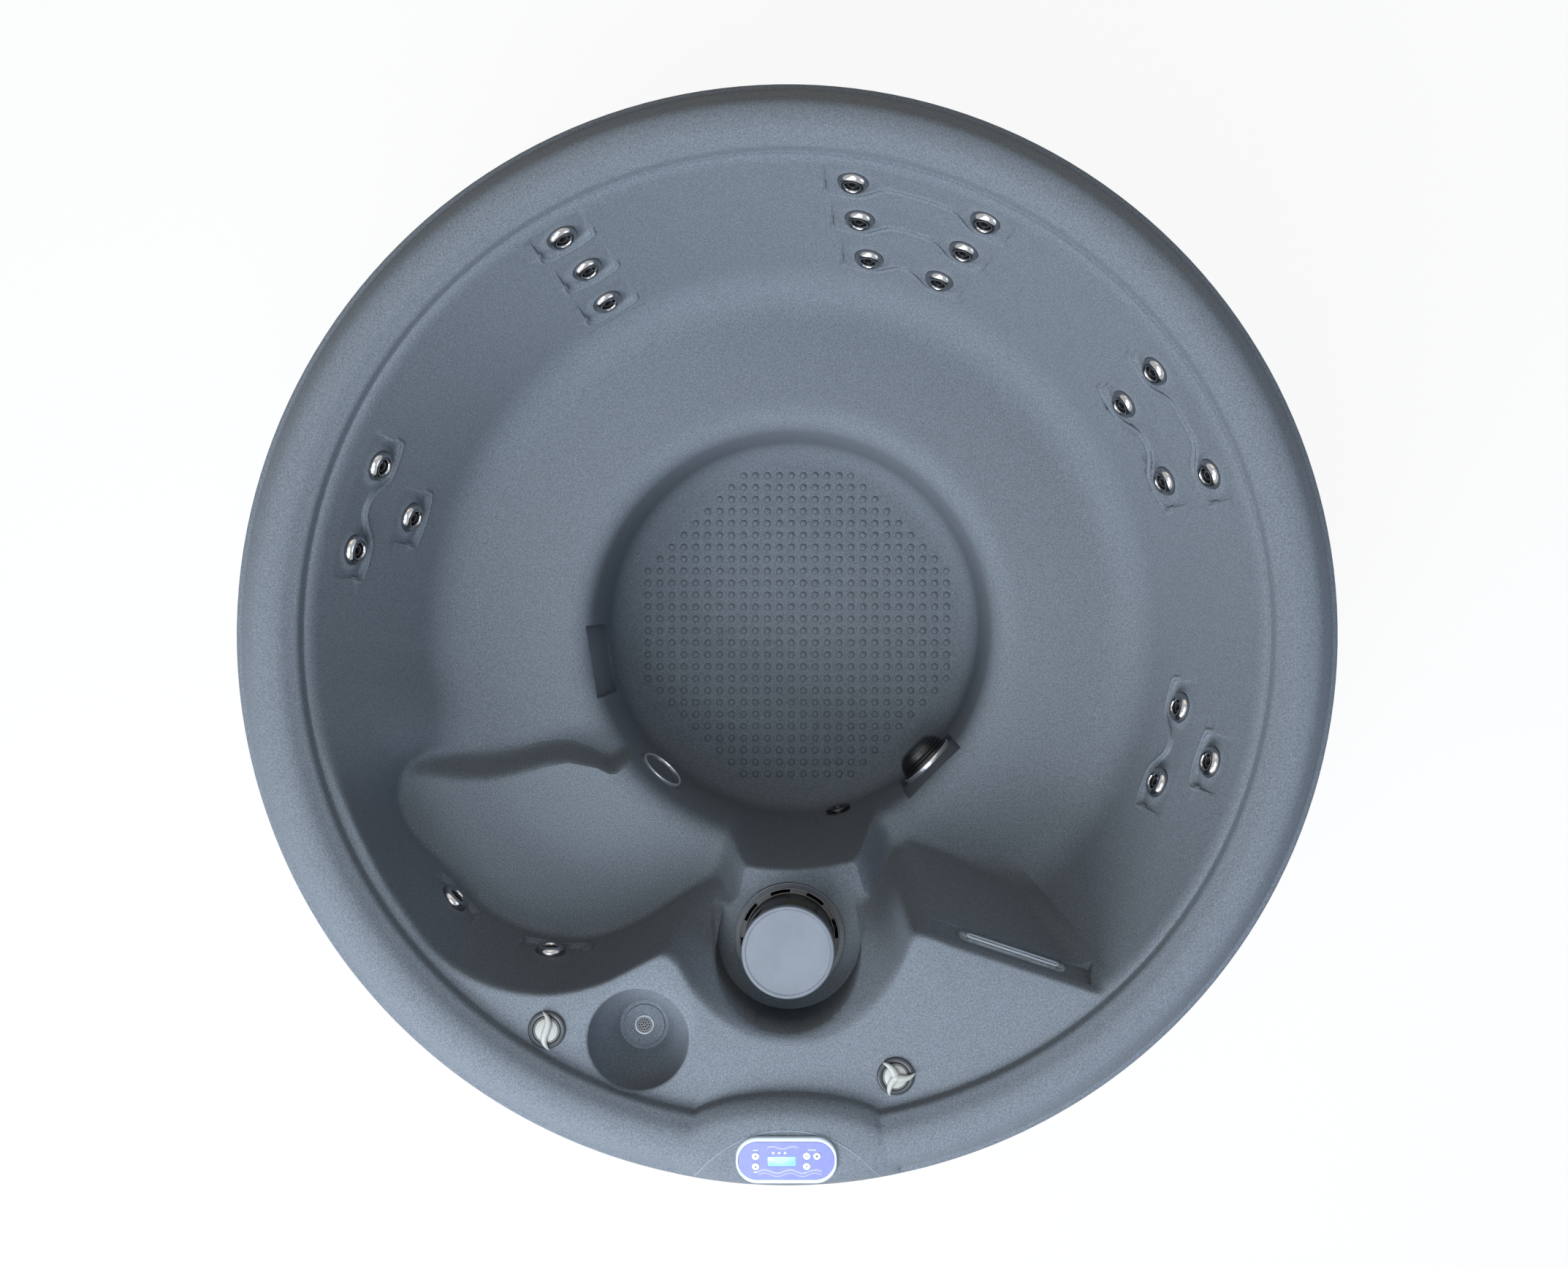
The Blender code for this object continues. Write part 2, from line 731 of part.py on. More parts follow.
def jet_places(mould):
    places = []
    for bearings, share in JET_ROW_SHARES:
        for bearing in bearings:
            level = seat_height(bearing)
            point, normal = mould.wall(bearing, level + (DECK_HEIGHT - level) * share)
            places.append((point, normal))
    return places


def stepped_cut(point, normal, face_radius, bore_radius, seat, sides):
    """Spotface with a bore behind it, along a wall's normal."""
    bore, face = bore_radius / cos(pi / sides), face_radius / cos(pi / sides)
    profile = [(0.0, -CUT_OVERRUN), (bore, -CUT_OVERRUN), (bore, -seat),
               (face, -seat), (face, CUT_OVERRUN / 2), (0.0, CUT_OVERRUN / 2)]
    return moved(turned(profile, sides), frame_at(point, normal))


def fall_place(mould):
    point, normal = mould.wall(FALL_PLACE_BEARING, DECK_HEIGHT - FALL_DROP)
    along = Vector((0.0, 0.0, 1.0)).cross(normal).normalized()
    up = normal.cross(along)
    turn = Matrix((along, up, normal)).transposed().to_4x4()
    return Matrix.Translation(point) @ turn


def niche_place(bearing, height):
    return frame_at(polar(WELL_RADIUS + NICHE_SINK, bearing, height), -polar(1.0, bearing))


def valve_places():
    places = []
    for bearing, margin in zip(VALVE_BEARINGS, VALVE_MARGINS):
        reach = OPENING_RADIUS - LEDGE / 3 - VALVE_RADIUS - margin
        places.append(Matrix.Translation(polar(reach, bearing, DECK_HEIGHT + SEAT_GAP)))
    return places


def well_fitting_places(mould):
    return (
        (*mould.wall(LIGHT_BEARING, LIGHT_HEIGHT), LIGHT_RADIUS),
        (*mould.wall(DRAIN_BEARING, DRAIN_HEIGHT), DRAIN_RADIUS),
    )


def tub_shell(mould):
    """Moulded shell: the mould's solid less its void, then bored for what passes through it."""
    shell = mould.solid
    shell.name = "tub_shell"
    shell.data.materials.append(moulded_plastic())
    niches = (SUCTION_BEARING, BARE_NICHE_BEARING)
    shell = combine(shell, joined([pocket_cut(0.0), bucket_cut(0.0), facet_cut()]), "DIFFERENCE")
    shell = combine(shell, joined([niche_cut(b, 0.0) for b in niches]), "DIFFERENCE")
    void = combine(mould.void, joined([pocket_cut(WALL), bucket_cut(WALL)]), "DIFFERENCE")
    void = combine(void, joined([niche_cut(b, WALL) for b in niches]), "DIFFERENCE")
    hollow = bmesh.new()
    hollow.from_mesh(void.data)
    bpy.data.objects.remove(void)
    shell = combine(shell, hollow, "DIFFERENCE")
    bores = [stepped_cut(p, n, JET_RADIUS + SPOTFACE_MARGIN, JET_BORE, JET_SEAT, JET_SIDES)
             for p, n in jet_places(mould)]
    bores += [stepped_cut(p, n, r + SPOTFACE_MARGIN, SUCTION_NECK / 2 + BORE_CLEARANCE, JET_SEAT, 12)
              for p, n, r in well_fitting_places(mould)]
    bores.append(fall_cut(mould))
    bores.append(suction_bore())
    bores += [moved(drill(VALVE_SLEEVE + BORE_CLEARANCE, 12), place) for place in valve_places()]
    bores.append(housing_bore())
    bores.append(bucket_bore())
    shell = combine(shell, joined(bores), "DIFFERENCE")
    shell.data.shade_smooth()
    shell.data.set_sharp_from_angle(angle=radians(35.0))
    return shell


def fall_cut(mould):
    """Shallow flat strip for the waterfall, with a slot through it."""
    place = fall_place(mould)
    half, tall = STRIP_LENGTH / 2, STRIP_HEIGHT / 2
    strip = finish("strip", block((-half, -tall, -STRIP_DEPTH), (half, tall, CUT_OVERRUN / 2)), None)
    half = SPOUT_LENGTH / 2 - SPOUT_HEIGHT / 2 + BORE_CLEARANCE
    tall = SPOUT_SLOT + BORE_CLEARANCE
    strip = combine(strip, block((-half, -tall, -CUT_OVERRUN), (half, tall, 0.0)), "UNION")
    mesh = bmesh.new()
    mesh.from_mesh(strip.data)
    bpy.data.objects.remove(strip)
    return moved(mesh, place)


def suction_bore():
    return moved(drill(SUCTION_NECK + BORE_CLEARANCE, 12), niche_place(SUCTION_BEARING, NICHE_LOW))


def housing_bore():
    return moved(drill(HOUSING_RADIUS + HOUSING_CLEARANCE, FILTER_SIDES), Matrix.Translation(FILTER_PLACE))


def bucket_bore():
    floor = Matrix.Translation((0.0, 0.0, -BUCKET_DEPTH))
    return moved(drill(BUCKET_NECK + BORE_CLEARANCE, 10, BUCKET_DEPTH / 4), bucket_place() @ floor)


# Jets and wall fittings


def jet(number, point, normal):
    """Jet insert: domed chrome ring with a nozzle cup and a neck into the jet body."""
    ring = JET_RADIUS
    bore = JET_NOZZLE
    profile = [(0.0, -JET_DEPTH), (JET_NECK, -JET_DEPTH), (JET_NECK, 0.0), (ring, 0.0),
               (ring * 0.72, JET_DOME), (bore, JET_DOME / 2), (0.0, -JET_DEPTH / 2)]
    place = frame_at(point - normal * (JET_SEAT - SEAT_GAP), normal)
    return finish(f"jet_{number:02d}", turned(profile, JET_SIDES), chrome(), place)


def footwell_light(mould):
    point, normal, _ = well_fitting_places(mould)[0]
    neck = SUCTION_NECK / 2
    profile = [(0.0, -NECK_DEPTH), (neck, -NECK_DEPTH), (neck, 0.0), (LIGHT_RADIUS, 0.0),
               (LIGHT_RADIUS * 0.92, LIGHT_DOME * 0.8), (LIGHT_RADIUS * 0.86, LIGHT_DOME / 2),
               (0.0, LIGHT_DOME)]
    place = frame_at(point - normal * (JET_SEAT - SEAT_GAP), normal)
    return finish("footwell_light", turned(profile, 16), chrome(), place)


def floor_drain(mould):
    point, normal, _ = well_fitting_places(mould)[1]
    neck = SUCTION_NECK / 2
    profile = [(0.0, -NECK_DEPTH), (neck, -NECK_DEPTH), (neck, 0.0), (DRAIN_RADIUS, 0.0),
               (DRAIN_RADIUS * 0.8, DRAIN_DOME),
               (DRAIN_RADIUS * 0.4, DRAIN_DOME), (DRAIN_RADIUS * 0.4, DRAIN_DOME / 4), (0.0, DRAIN_DOME / 4)]
    place = frame_at(point - normal * (JET_SEAT - SEAT_GAP), normal)
    return finish("floor_drain", turned(profile, 12), black_plastic(), place)


def suction_cover():
    """Domed cover with stepped louvres, on the flat of its niche."""
    radius, dome = SUCTION_RADIUS, SUCTION_DOME
    profile = [(0.0, -NECK_DEPTH), (SUCTION_NECK, -NECK_DEPTH), (SUCTION_NECK, 0.0), (radius, 0.0),
               (radius, dome * 0.25), (radius * 0.92, dome * 0.30), (radius * 0.92, dome * 0.55),
               (radius * 0.80, dome * 0.60), (radius * 0.72, dome * 0.88), (radius * 0.40, dome), (0.0, dome)]
    place = niche_place(SUCTION_BEARING, NICHE_LOW) @ Matrix.Translation((0.0, 0.0, SEAT_GAP))
    return finish("suction_cover", turned(profile, 14), black_plastic(), place)


def bucket_drain():
    """Fitting in the floor of the ice bucket recess: a disc with a raised ring round its strainer."""
    disc = BUCKET_FLOOR_RADIUS * 0.80
    neck = BUCKET_NECK
    thick = VALVE_HEIGHT / 2
    profile = [(0.0, -NECK_DEPTH), (neck, -NECK_DEPTH), (neck, 0.0), (disc, 0.0), (disc * 0.97, thick),
               (neck * 1.1, thick), (neck, thick * 1.6), (neck * 0.8, thick * 0.8), (0.0, thick * 0.8)]
    place = bucket_place() @ Matrix.Translation((0.0, 0.0, SEAT_GAP - BUCKET_DEPTH))
    return finish("bucket_drain", turned(profile, 12), black_plastic(), place)


def waterfall_spout(mould):
    """Clear spout: a round-ended plate with a slot, a tongue through the wall and two domed posts."""
    half = SPOUT_LENGTH / 2 - SPOUT_HEIGHT / 2
    outline = rounded_rectangle(SPOUT_LENGTH, SPOUT_HEIGHT, SPOUT_HEIGHT / 2 * 0.98)
    plate = prism(outline, 0.0, SPOUT_THICKNESS)
    made = finish("waterfall_spout", plate, material("clear_plastic", (0.75, 0.80, 0.82), 0.10))
    tongue = block((-half, -SPOUT_SLOT, -NECK_DEPTH), (half, SPOUT_SLOT, SPOUT_THICKNESS / 2))
    made = combine(made, tongue, "UNION")
    for side in (-1, 1):
        post = turned([(0.0, SPOUT_THICKNESS / 2), (SPOUT_POST, SPOUT_THICKNESS / 2),
                       (SPOUT_POST * 0.9, SPOUT_THICKNESS * 1.5), (SPOUT_POST * 0.4, SPOUT_THICKNESS * 1.9),
                       (0.0, SPOUT_THICKNESS * 2)], 12)
        made = combine(made, moved(post, Matrix.Translation((side * half, 0.0, 0.0))), "UNION")
    mouth = half - SPOUT_POST * 1.3
    slot = block((-mouth, -SPOUT_SLOT / 2, -NECK_DEPTH - CUT_OVERRUN), (mouth, SPOUT_SLOT / 2, CUT_OVERRUN))
    made = combine(made, slot, "DIFFERENCE")
    made.matrix_world = fall_place(mould) @ Matrix.Translation((0.0, 0.0, SEAT_GAP - STRIP_DEPTH))
    return made


# Diverter valves


def valve(name, place):
    profile = [(0.0, -VALVE_DEPTH), (VALVE_SLEEVE, -VALVE_DEPTH), (VALVE_SLEEVE, 0.0), (VALVE_RADIUS, 0.0),
               (VALVE_RADIUS * 0.97, VALVE_HEIGHT), (VALVE_BORE, VALVE_HEIGHT),
               (VALVE_BORE, -VALVE_DEPTH * 0.6), (0.0, -VALVE_DEPTH * 0.6)]
    return finish(name, turned(profile, 14), black_plastic(), place)


def knob_stem():
    top = VALVE_HEIGHT + LEVER_HEIGHT / 2
    foot = SEAT_GAP - VALVE_DEPTH * 0.6
    return turned([(0.0, foot), (KNOB_RADIUS, foot), (KNOB_RADIUS, top - LEVER_HEIGHT / 5),
                   (KNOB_RADIUS * 0.85, top), (0.0, top)], 14)


def s_lever_outline():
    """Two lobes on an S-shaped centre line, pointed at both ends."""
    count = 7
    left, right = [], []
    for i in range(count + 1):
        t = 2 * i / count - 1
        side = LEVER_WIDTH * 0.55 * sin(pi * t)
        half = LEVER_WIDTH / 2 * max(1 - t * t, 0.06)
        left.append((side - half, t * LEVER_HALF_LENGTH))
        right.append((side + half, t * LEVER_HALF_LENGTH))
    return right + left[::-1]


def arm_outline(arms=3, steps=3):
    """Three swept arms round a small hub."""
    outline = []
    hub = LEVER_WIDTH * 0.55
    for arm in range(arms):
        base = 2 * pi * arm / arms
        for i in range(steps):
            t = i / steps
            outline.append(((hub + (LEVER_HALF_LENGTH - hub) * t), base - 0.55 + 0.75 * t))
        outline.append((LEVER_HALF_LENGTH, base + 0.18))
        for i in range(steps - 1, 0, -1):
            t = i / steps
            outline.append(((hub + (LEVER_HALF_LENGTH - hub) * t), base + 0.50 - 0.30 * t))
    return [(r * cos(a), r * sin(a)) for r, a in outline]


def knob(name, outline, place):
    made = finish(name, knob_stem(), pale_plastic())
    low = VALVE_HEIGHT + KNOB_CLEARANCE
    made = combine(made, prism(outline, low, low + LEVER_HEIGHT), "UNION")
    made.matrix_world = place
    return made


# Filter


def ring_slots(inner, outer, low, high, count=8, share=0.72):
    """Curved slots between two radii, evenly round a ring."""
    cuts = []
    for i in range(count):
        middle = 2 * pi * i / count
        turns = [middle + pi / count * share * s for s in (-1, 1)]
        outline = [(inner * cos(a), inner * sin(a)) for a in turns]
        outline += [(outer * cos(a), outer * sin(a)) for a in turns[::-1]]
        cuts.append(prism(outline, low, high))
    return joined(cuts)


def filter_housing():
    """Slotted guide ring on the bay's floor with the canister below it."""
    guide = WEIR_RADIUS + WEIR_CLEARANCE
    bore = HOUSING_RADIUS - HOUSING_WALL
    floor = -HOUSING_DEPTH
    profile = [(0.0, floor), (HOUSING_RADIUS, floor), (HOUSING_RADIUS, 0.0), (RING_RADIUS, 0.0),
               (RING_RADIUS, RING_THICKNESS), (guide, RING_THICKNESS), (guide, 0.0), (bore, 0.0),
               (bore, floor + HOUSING_WALL), (0.0, floor + HOUSING_WALL)]
    made = finish("filter_housing", turned(profile, FILTER_SIDES), black_plastic())
    slots = ring_slots(guide + HOUSING_WALL, bore - HOUSING_WALL / 2, -HOUSING_WALL, RING_THICKNESS * 2)
    made = combine(made, slots, "DIFFERENCE")
    made.matrix_world = Matrix.Translation(FILTER_PLACE + Vector((0.0, 0.0, SEAT_GAP)))
    return made


def filter_weir():
    """Floating sleeve with tall windows, guided by the ring."""
    inner = WEIR_RADIUS - WEIR_WALL
    profile = [(inner, -WEIR_DROP), (WEIR_RADIUS, -WEIR_DROP), (WEIR_RADIUS, WEIR_RISE), (inner, WEIR_RISE)]
    made = finish("filter_weir", turned(profile, FILTER_SIDES), black_plastic())
    low, high = RING_THICKNESS + WEIR_RISE * 0.25, WEIR_RISE * 0.88
    windows = ring_slots(inner - WEIR_WALL, WEIR_RADIUS + WEIR_WALL * 2, low, high, 5, 0.60)
    made = combine(made, windows, "DIFFERENCE")
    made.matrix_world = Matrix.Translation(FILTER_PLACE + Vector((0.0, 0.0, SEAT_GAP)))
    return made


def filter_lid():
    edge = WEIR_RADIUS + LID_OVERHANG
    spigot = WEIR_RADIUS - WEIR_WALL - WEIR_CLEARANCE
    thick = LID_THICKNESS
    profile = [(0.0, -thick / 2), (spigot, -thick / 2), (spigot, 0.0), (edge, 0.0), (edge, thick * 0.7),
               (edge * 0.97, thick), (edge * 0.90, thick * 0.86), (0.0, thick * 0.90)]
    place = FILTER_PLACE + Vector((0.0, 0.0, WEIR_RISE + 2 * SEAT_GAP))
    grey = material("lid_grey", (0.30, 0.34, 0.38), 0.35)
    return finish("filter_lid", turned(profile, FILTER_SIDES), grey, Matrix.Translation(place))


def filter_cartridge():
    """Pleated cartridge between two round caps, standing in the canister."""
    count = 20
    radius = CARTRIDGE_RADIUS
    cap = circle(radius, count)
    pleats = [(x * s, y * s) for i, (x, y) in enumerate(cap) for s in [1 - PLEAT_DEPTH / radius * (i % 2)]]
    pleats = [(x * 0.97, y * 0.97) for x, y in pleats]
    low, high = CARTRIDGE_CAP, CARTRIDGE_LENGTH - CARTRIDGE_CAP
    levels = ((cap, 0.0), (cap, low), (pleats, low), (pleats, high), (cap, high), (cap, CARTRIDGE_LENGTH))
    mesh = loft([[Vector((x, y, z)) for x, y in outline] for outline, z in levels])
    floor = HOUSING_WALL - HOUSING_DEPTH + 2 * SEAT_GAP
    place = Matrix.Translation(FILTER_PLACE + Vector((0.0, 0.0, floor)))
    return finish("filter_cartridge", mesh, pipe_plastic(), place)


# Control panel


def panel_bezel():
    outer = rounded_rectangle(PANEL_LENGTH, PANEL_WIDTH, PANEL_CORNER)
    shrink = 2 * PANEL_BORDER
    inner = rounded_rectangle(PANEL_LENGTH - shrink, PANEL_WIDTH - shrink, PANEL_CORNER - PANEL_BORDER)
    crown = rounded_rectangle(PANEL_LENGTH - shrink / 3, PANEL_WIDTH - shrink / 3,
                              PANEL_CORNER - PANEL_BORDER / 3)
    levels = ((outer, 0.0), (outer, PANEL_HEIGHT * 0.6), (crown, PANEL_HEIGHT))
    mesh = loft([[Vector((x, y, z)) for x, y in outline] for outline, z in levels])
    made = finish("panel_bezel", mesh, material("panel_white", (0.72, 0.78, 0.82), 0.30))
    made = combine(made, prism(inner, PANEL_FLOOR, PANEL_HEIGHT + CUT_OVERRUN), "DIFFERENCE")
    made.matrix_world = panel_place()
    return made


def button_centres():
    return [(x * PANEL_LENGTH, y * PANEL_WIDTH) for x, y in BUTTON_SHARES]


def display_centre():
    return DISPLAY_SHARES[0] * PANEL_LENGTH, DISPLAY_SHARES[1] * PANEL_WIDTH


def panel_overlay():
    """Printed face plate with holes for the display and the buttons."""
    shrink = 2 * (PANEL_BORDER + SEAT_GAP)
    outline = rounded_rectangle(PANEL_LENGTH - shrink, PANEL_WIDTH - shrink, PANEL_CORNER - shrink / 2)
    low = PANEL_FLOOR + SEAT_GAP
    made = finish("panel_overlay", prism(outline, low, low + OVERLAY_THICKNESS),
                  material("panel_violet", (0.09, 0.09, 0.33), 0.35))
    x, y = display_centre()
    half, tall = DISPLAY_LENGTH / 2 + SEAT_GAP, DISPLAY_WIDTH / 2 + SEAT_GAP
    cuts = [block((x - half, y - tall, 0.0), (x + half, y + tall, CUT_OVERRUN))]
    hole = BUTTON_RADIUS + BUTTON_CLEARANCE
    cuts += [prism(circle(hole, 8, centre), 0.0, CUT_OVERRUN) for centre in button_centres()]
    made = combine(made, joined(cuts), "DIFFERENCE")
    made.matrix_world = panel_place()
    return made


def panel_display():
    x, y = display_centre()
    half, tall = DISPLAY_LENGTH / 2, DISPLAY_WIDTH / 2
    low = PANEL_FLOOR + SEAT_GAP
    mesh = block((x - half, y - tall, low), (x + half, y + tall, low + OVERLAY_THICKNESS * 0.9))
    return finish("panel_display", mesh, material("display", (0.30, 0.62, 0.66), 0.15), panel_place())


def panel_button(number, centre):
    top = PANEL_FLOOR + SEAT_GAP + OVERLAY_THICKNESS + BUTTON_LIFT
    foot = top - BUTTON_HEIGHT
    profile = [(0.0, foot), (BUTTON_RADIUS, foot), (BUTTON_RADIUS, top - BUTTON_LIFT / 2),
               (BUTTON_RADIUS * 0.85, top), (0.0, top)]
    place = panel_place() @ Matrix.Translation((*centre, 0.0))
    white = material("button_white", (0.80, 0.82, 0.84), 0.35)
    return finish(f"panel_button_{number}", turned(profile, 8), white, place)


# Cabinet


def stave_outline(first, last):
    """Plan of a run of upright staves, with a V groove between neighbours."""
    step = 360.0 / STAVE_COUNT
    groove = degrees(STAVE_GROOVE / SKIRT_RADIUS)
    outer, inner = [], []
    for i in range(first, last + 1):
        bearing = -90.0 + i * step
        if i > first:
            outer.append(polar(SKIRT_RADIUS, bearing - groove))
        outer.append(polar(SKIRT_RADIUS - STAVE_GROOVE, bearing))
        if i < last:
            outer.append(polar(SKIRT_RADIUS, bearing + groove))
        inner.append(polar(SKIRT_INNER_RADIUS, bearing))
    return [(point.x, point.y) for point in outer + inner[::-1]]


def parted(outline, first, last):
    """Draw a run's two ends in by half a gap, so that neighbours don't touch."""
    step = 360.0 / STAVE_COUNT
    ends = [polar(1.0, -90.0 + first * step + 90.0), polar(1.0, -90.0 + last * step - 90.0)]
    drawn = []
    for x, y in outline:
        point = Vector((x, y, 0.0))
        for inward in ends:
            if abs(point.dot(inward)) < SEAT_GAP / 2:
                point = point + inward * SEAT_GAP
        drawn.append((point.x, point.y))
    return drawn


def skirt_panel(name, first, last):
    outline = parted(stave_outline(first, last), first, last)
    mesh = prism(outline, PAN_TOP, TUB_HEIGHT - SKIRT_TOP_DROP)
    return finish(name, mesh, moulded_plastic())


def door_opening():
    half = radians(360.0 / STAVE_COUNT * DOOR_STAVES / 2) + DOOR_GAP / SKIRT_RADIUS
    inner, outer = SKIRT_INNER_RADIUS - CUT_OVERRUN, (SKIRT_RADIUS + CUT_OVERRUN) / cos(half)
    corners = ((outer, -1), (outer, 1), (inner, 1), (inner, -1))
    outline = [(side * radius * sin(half), -radius * cos(half)) for radius, side in corners]
    return prism(outline, DOOR_LOW, DOOR_HIGH)


def skirt_front():
    quarter = STAVE_COUNT // 8
    made = skirt_panel("skirt_front", -quarter, quarter)
    return combine(made, door_opening(), "DIFFERENCE")


def access_door():
    """Door panel of four staves, with a screw head near each corner."""
    half = DOOR_STAVES // 2
    step = 360.0 / STAVE_COUNT
    mesh = prism(stave_outline(-half, half), DOOR_LOW + SEAT_GAP, DOOR_HIGH - DOOR_GAP)
    made = finish("access_door", mesh, moulded_plastic())
    face = SKIRT_RADIUS * cos(radians(step / 2) - STAVE_GROOVE / SKIRT_RADIUS)
    for side in (-1, 1):
        for height in (DOOR_LOW + SCREW_INSET, DOOR_HIGH - SCREW_INSET):
            outward = polar(1.0, -90.0 + side * step * (DOOR_STAVES - 1) / 2)
            head = turned([(0.0, -SCREW_HEIGHT), (SCREW_RADIUS, -SCREW_HEIGHT),
                           (SCREW_RADIUS * 0.8, SCREW_HEIGHT), (0.0, SCREW_HEIGHT)], 8)
            place = frame_at(outward * face + Vector((0.0, 0.0, height)), outward)
            made = combine(made, moved(head, place), "UNION")
    return made


def base_pan():
    """Flat base with an upstand ring inside the skirt."""
    edge = SKIRT_RADIUS + PAN_MARGIN
    profile = [(0.0, 0.0), (edge, 0.0), (edge, PAN_THICKNESS), (0.0, PAN_THICKNESS)]
    return finish("base_pan", turned(profile, STAVE_COUNT, -90.0), black_plastic())


def cabinet_frame():
    """Ring under the rim with eight posts down to the base pan."""
    outer = SKIRT_INNER_RADIUS * cos(pi / STAVE_COUNT) - SEAT_GAP
    inner = outer - FRAME_RING_WIDTH
    low = FRAME_RING_TOP - FRAME_RING_HEIGHT
    profile = [(inner, low), (outer, low), (outer, FRAME_RING_TOP), (inner, FRAME_RING_TOP)]
    made = finish("cabinet_frame", turned(profile, STAVE_COUNT, -90.0), timber())
    step = 360.0 / STAVE_COUNT
    top = FRAME_RING_TOP - FRAME_RING_HEIGHT * 0.8
    for bearing in [-90.0 + side * staves * step for staves in POST_STAVES for side in (-1, 1)]:
        post = block((POST_FACE - POST_DEPTH, -POST_WIDTH / 2, PAN_TOP), (POST_FACE, POST_WIDTH / 2, top))
        made = combine(made, moved(post, Matrix.Rotation(radians(bearing), 4, "Z")), "UNION")
    return made


def footwell_pad():
    radius = WELL_RADIUS - WELL_ROUND - PAD_MARGIN
    top = FLOOR_HEIGHT - WALL - SEAT_GAP
    profile = [(0.0, PAN_TOP), (radius, PAN_TOP), (radius, top), (0.0, top)]
    return finish("footwell_pad", turned(profile, 16), material("foam", (0.70, 0.66, 0.50), 0.9))


# Equipment


def pump_axis():
    return Vector((0.0, PUMP_SET_BACK - SKIRT_RADIUS, PAN_TOP + MOTOR_FOOT + MOTOR_RADIUS))


def lay_along_x(start):
    return Matrix.Translation(pump_axis() + Vector((start, 0.0, 0.0))) @ Matrix.Rotation(pi / 2, 4, "Y")


def pump_motor():
    """Finned motor on its foot."""
    length, radius = MOTOR_LENGTH, MOTOR_RADIUS
    profile = [(0.0, 0.0), (radius * 0.8, 0.0), (radius, length * 0.08), (radius, length * 0.22)]
    fins = 3
    for i in range(fins):
        low = length * (0.22 + 0.66 * i / fins)
        high = length * (0.22 + 0.66 * (i + 0.5) / fins)
        profile += [(radius - MOTOR_FIN, low), (radius - MOTOR_FIN, high), (radius, high),
                    (radius, length * (0.22 + 0.66 * (i + 1) / fins))]
    profile += [(radius, length), (0.0, length)]
    cast = material("motor_grey", (0.09, 0.10, 0.11), 0.45, 1.0)
    made = finish("pump_motor", moved(turned(profile, 12), lay_along_x(MOTOR_START)), cast)
    axis = pump_axis()
    middle = MOTOR_START + length / 2
    foot = block((middle - length / 4, axis.y - radius * 0.8, PAN_TOP),
                 (middle + length / 4, axis.y + radius * 0.8, axis.z - radius * 0.6))
    return combine(made, foot, "UNION")


def volute_start():
    return MOTOR_START + MOTOR_LENGTH + SEAT_GAP


def heater_height():
    return PAN_TOP + BOX_HEIGHT + SEAT_GAP + HEATER_NUT


def box_end():
    return MOTOR_START - BOX_SPACE


def pump_wet_end():
    """Volute with its inlet stub and the discharge elbow up to the heater."""
    radius, width = VOLUTE_RADIUS, VOLUTE_WIDTH
    inlet = SUCTION_PIPE_RADIUS
    profile = [(0.0, 0.0), (radius * 0.8, 0.0), (radius, width * 0.2), (radius, width * 0.8),
               (radius * 0.6, width), (inlet, width), (inlet, width + INLET_LENGTH),
               (0.0, width + INLET_LENGTH)]
    made = finish("pump_wet_end", moved(turned(profile, 12), lay_along_x(volute_start())), black_plastic())
    axis = pump_axis()
    x = volute_start() + width / 2
    top = heater_height()
    bend = PIPE_RADIUS
    run = [Vector((x, axis.y, axis.z)), Vector((x, axis.y, top - bend)),
           Vector((x - bend, axis.y, top)), Vector((box_end() + HEATER_SPACE + SEAT_GAP, axis.y, top))]
    return combine(made, piped(run, PIPE_RADIUS, 8), "UNION")


def control_box():
    """Equipment box beside the pump, its lid edges chamfered."""
    axis = pump_axis()
    end = box_end()
    half, chamfer = BOX_WIDTH / 2, BOX_WIDTH / 12
    levels = ((0.0, PAN_TOP), (0.0, PAN_TOP + BOX_HEIGHT - chamfer), (chamfer, PAN_TOP + BOX_HEIGHT))
    sections = []
    for inset, z in levels:
        x0, x1 = end - BOX_LENGTH + inset, end - inset
        y0, y1 = axis.y - half + inset, axis.y + half - inset
        sections.append([Vector((x0, y0, z)), Vector((x1, y0, z)), Vector((x1, y1, z)), Vector((x0, y1, z))])
    return finish("control_box", loft(sections), black_plastic())


def heater_tube():
    """Heater lying on the control box, with a union nut at each end."""
    length = BOX_LENGTH + 2 * HEATER_SPACE
    nut = length * 0.12
    profile = [(0.0, 0.0), (HEATER_NUT, 0.0), (HEATER_NUT, nut), (HEATER_RADIUS, nut),
               (HEATER_RADIUS, length - nut), (HEATER_NUT, length - nut), (HEATER_NUT, length), (0.0, length)]
    start = Vector((box_end() - BOX_LENGTH - HEATER_SPACE, pump_axis().y, heater_height()))
    place = Matrix.Translation(start) @ Matrix.Rotation(pi / 2, 4, "Y")
    return finish("heater_tube", moved(turned(profile, 12, 15.0), place), steel())


def suction_pipe():
    """Pipe from the suction fitting's neck to the pump's inlet."""
    height = NICHE_LOW
    start = WELL_RADIUS + NICHE_SINK + NECK_DEPTH + SEAT_GAP
    axis = pump_axis()
    inlet = volute_start() + VOLUTE_WIDTH + INLET_LENGTH + SEAT_GAP
    run = [polar(start, SUCTION_BEARING, height), polar(start + CUT_OVERRUN, SUCTION_BEARING, height),
           Vector((polar(start + CUT_OVERRUN, SUCTION_BEARING).x, axis.y + CUT_OVERRUN * 2, axis.z)),
           Vector((inlet + CUT_OVERRUN, axis.y, axis.z)), Vector((inlet, axis.y, axis.z))]
    return finish("suction_pipe", piped(run, SUCTION_PIPE_RADIUS, 8), pipe_plastic())


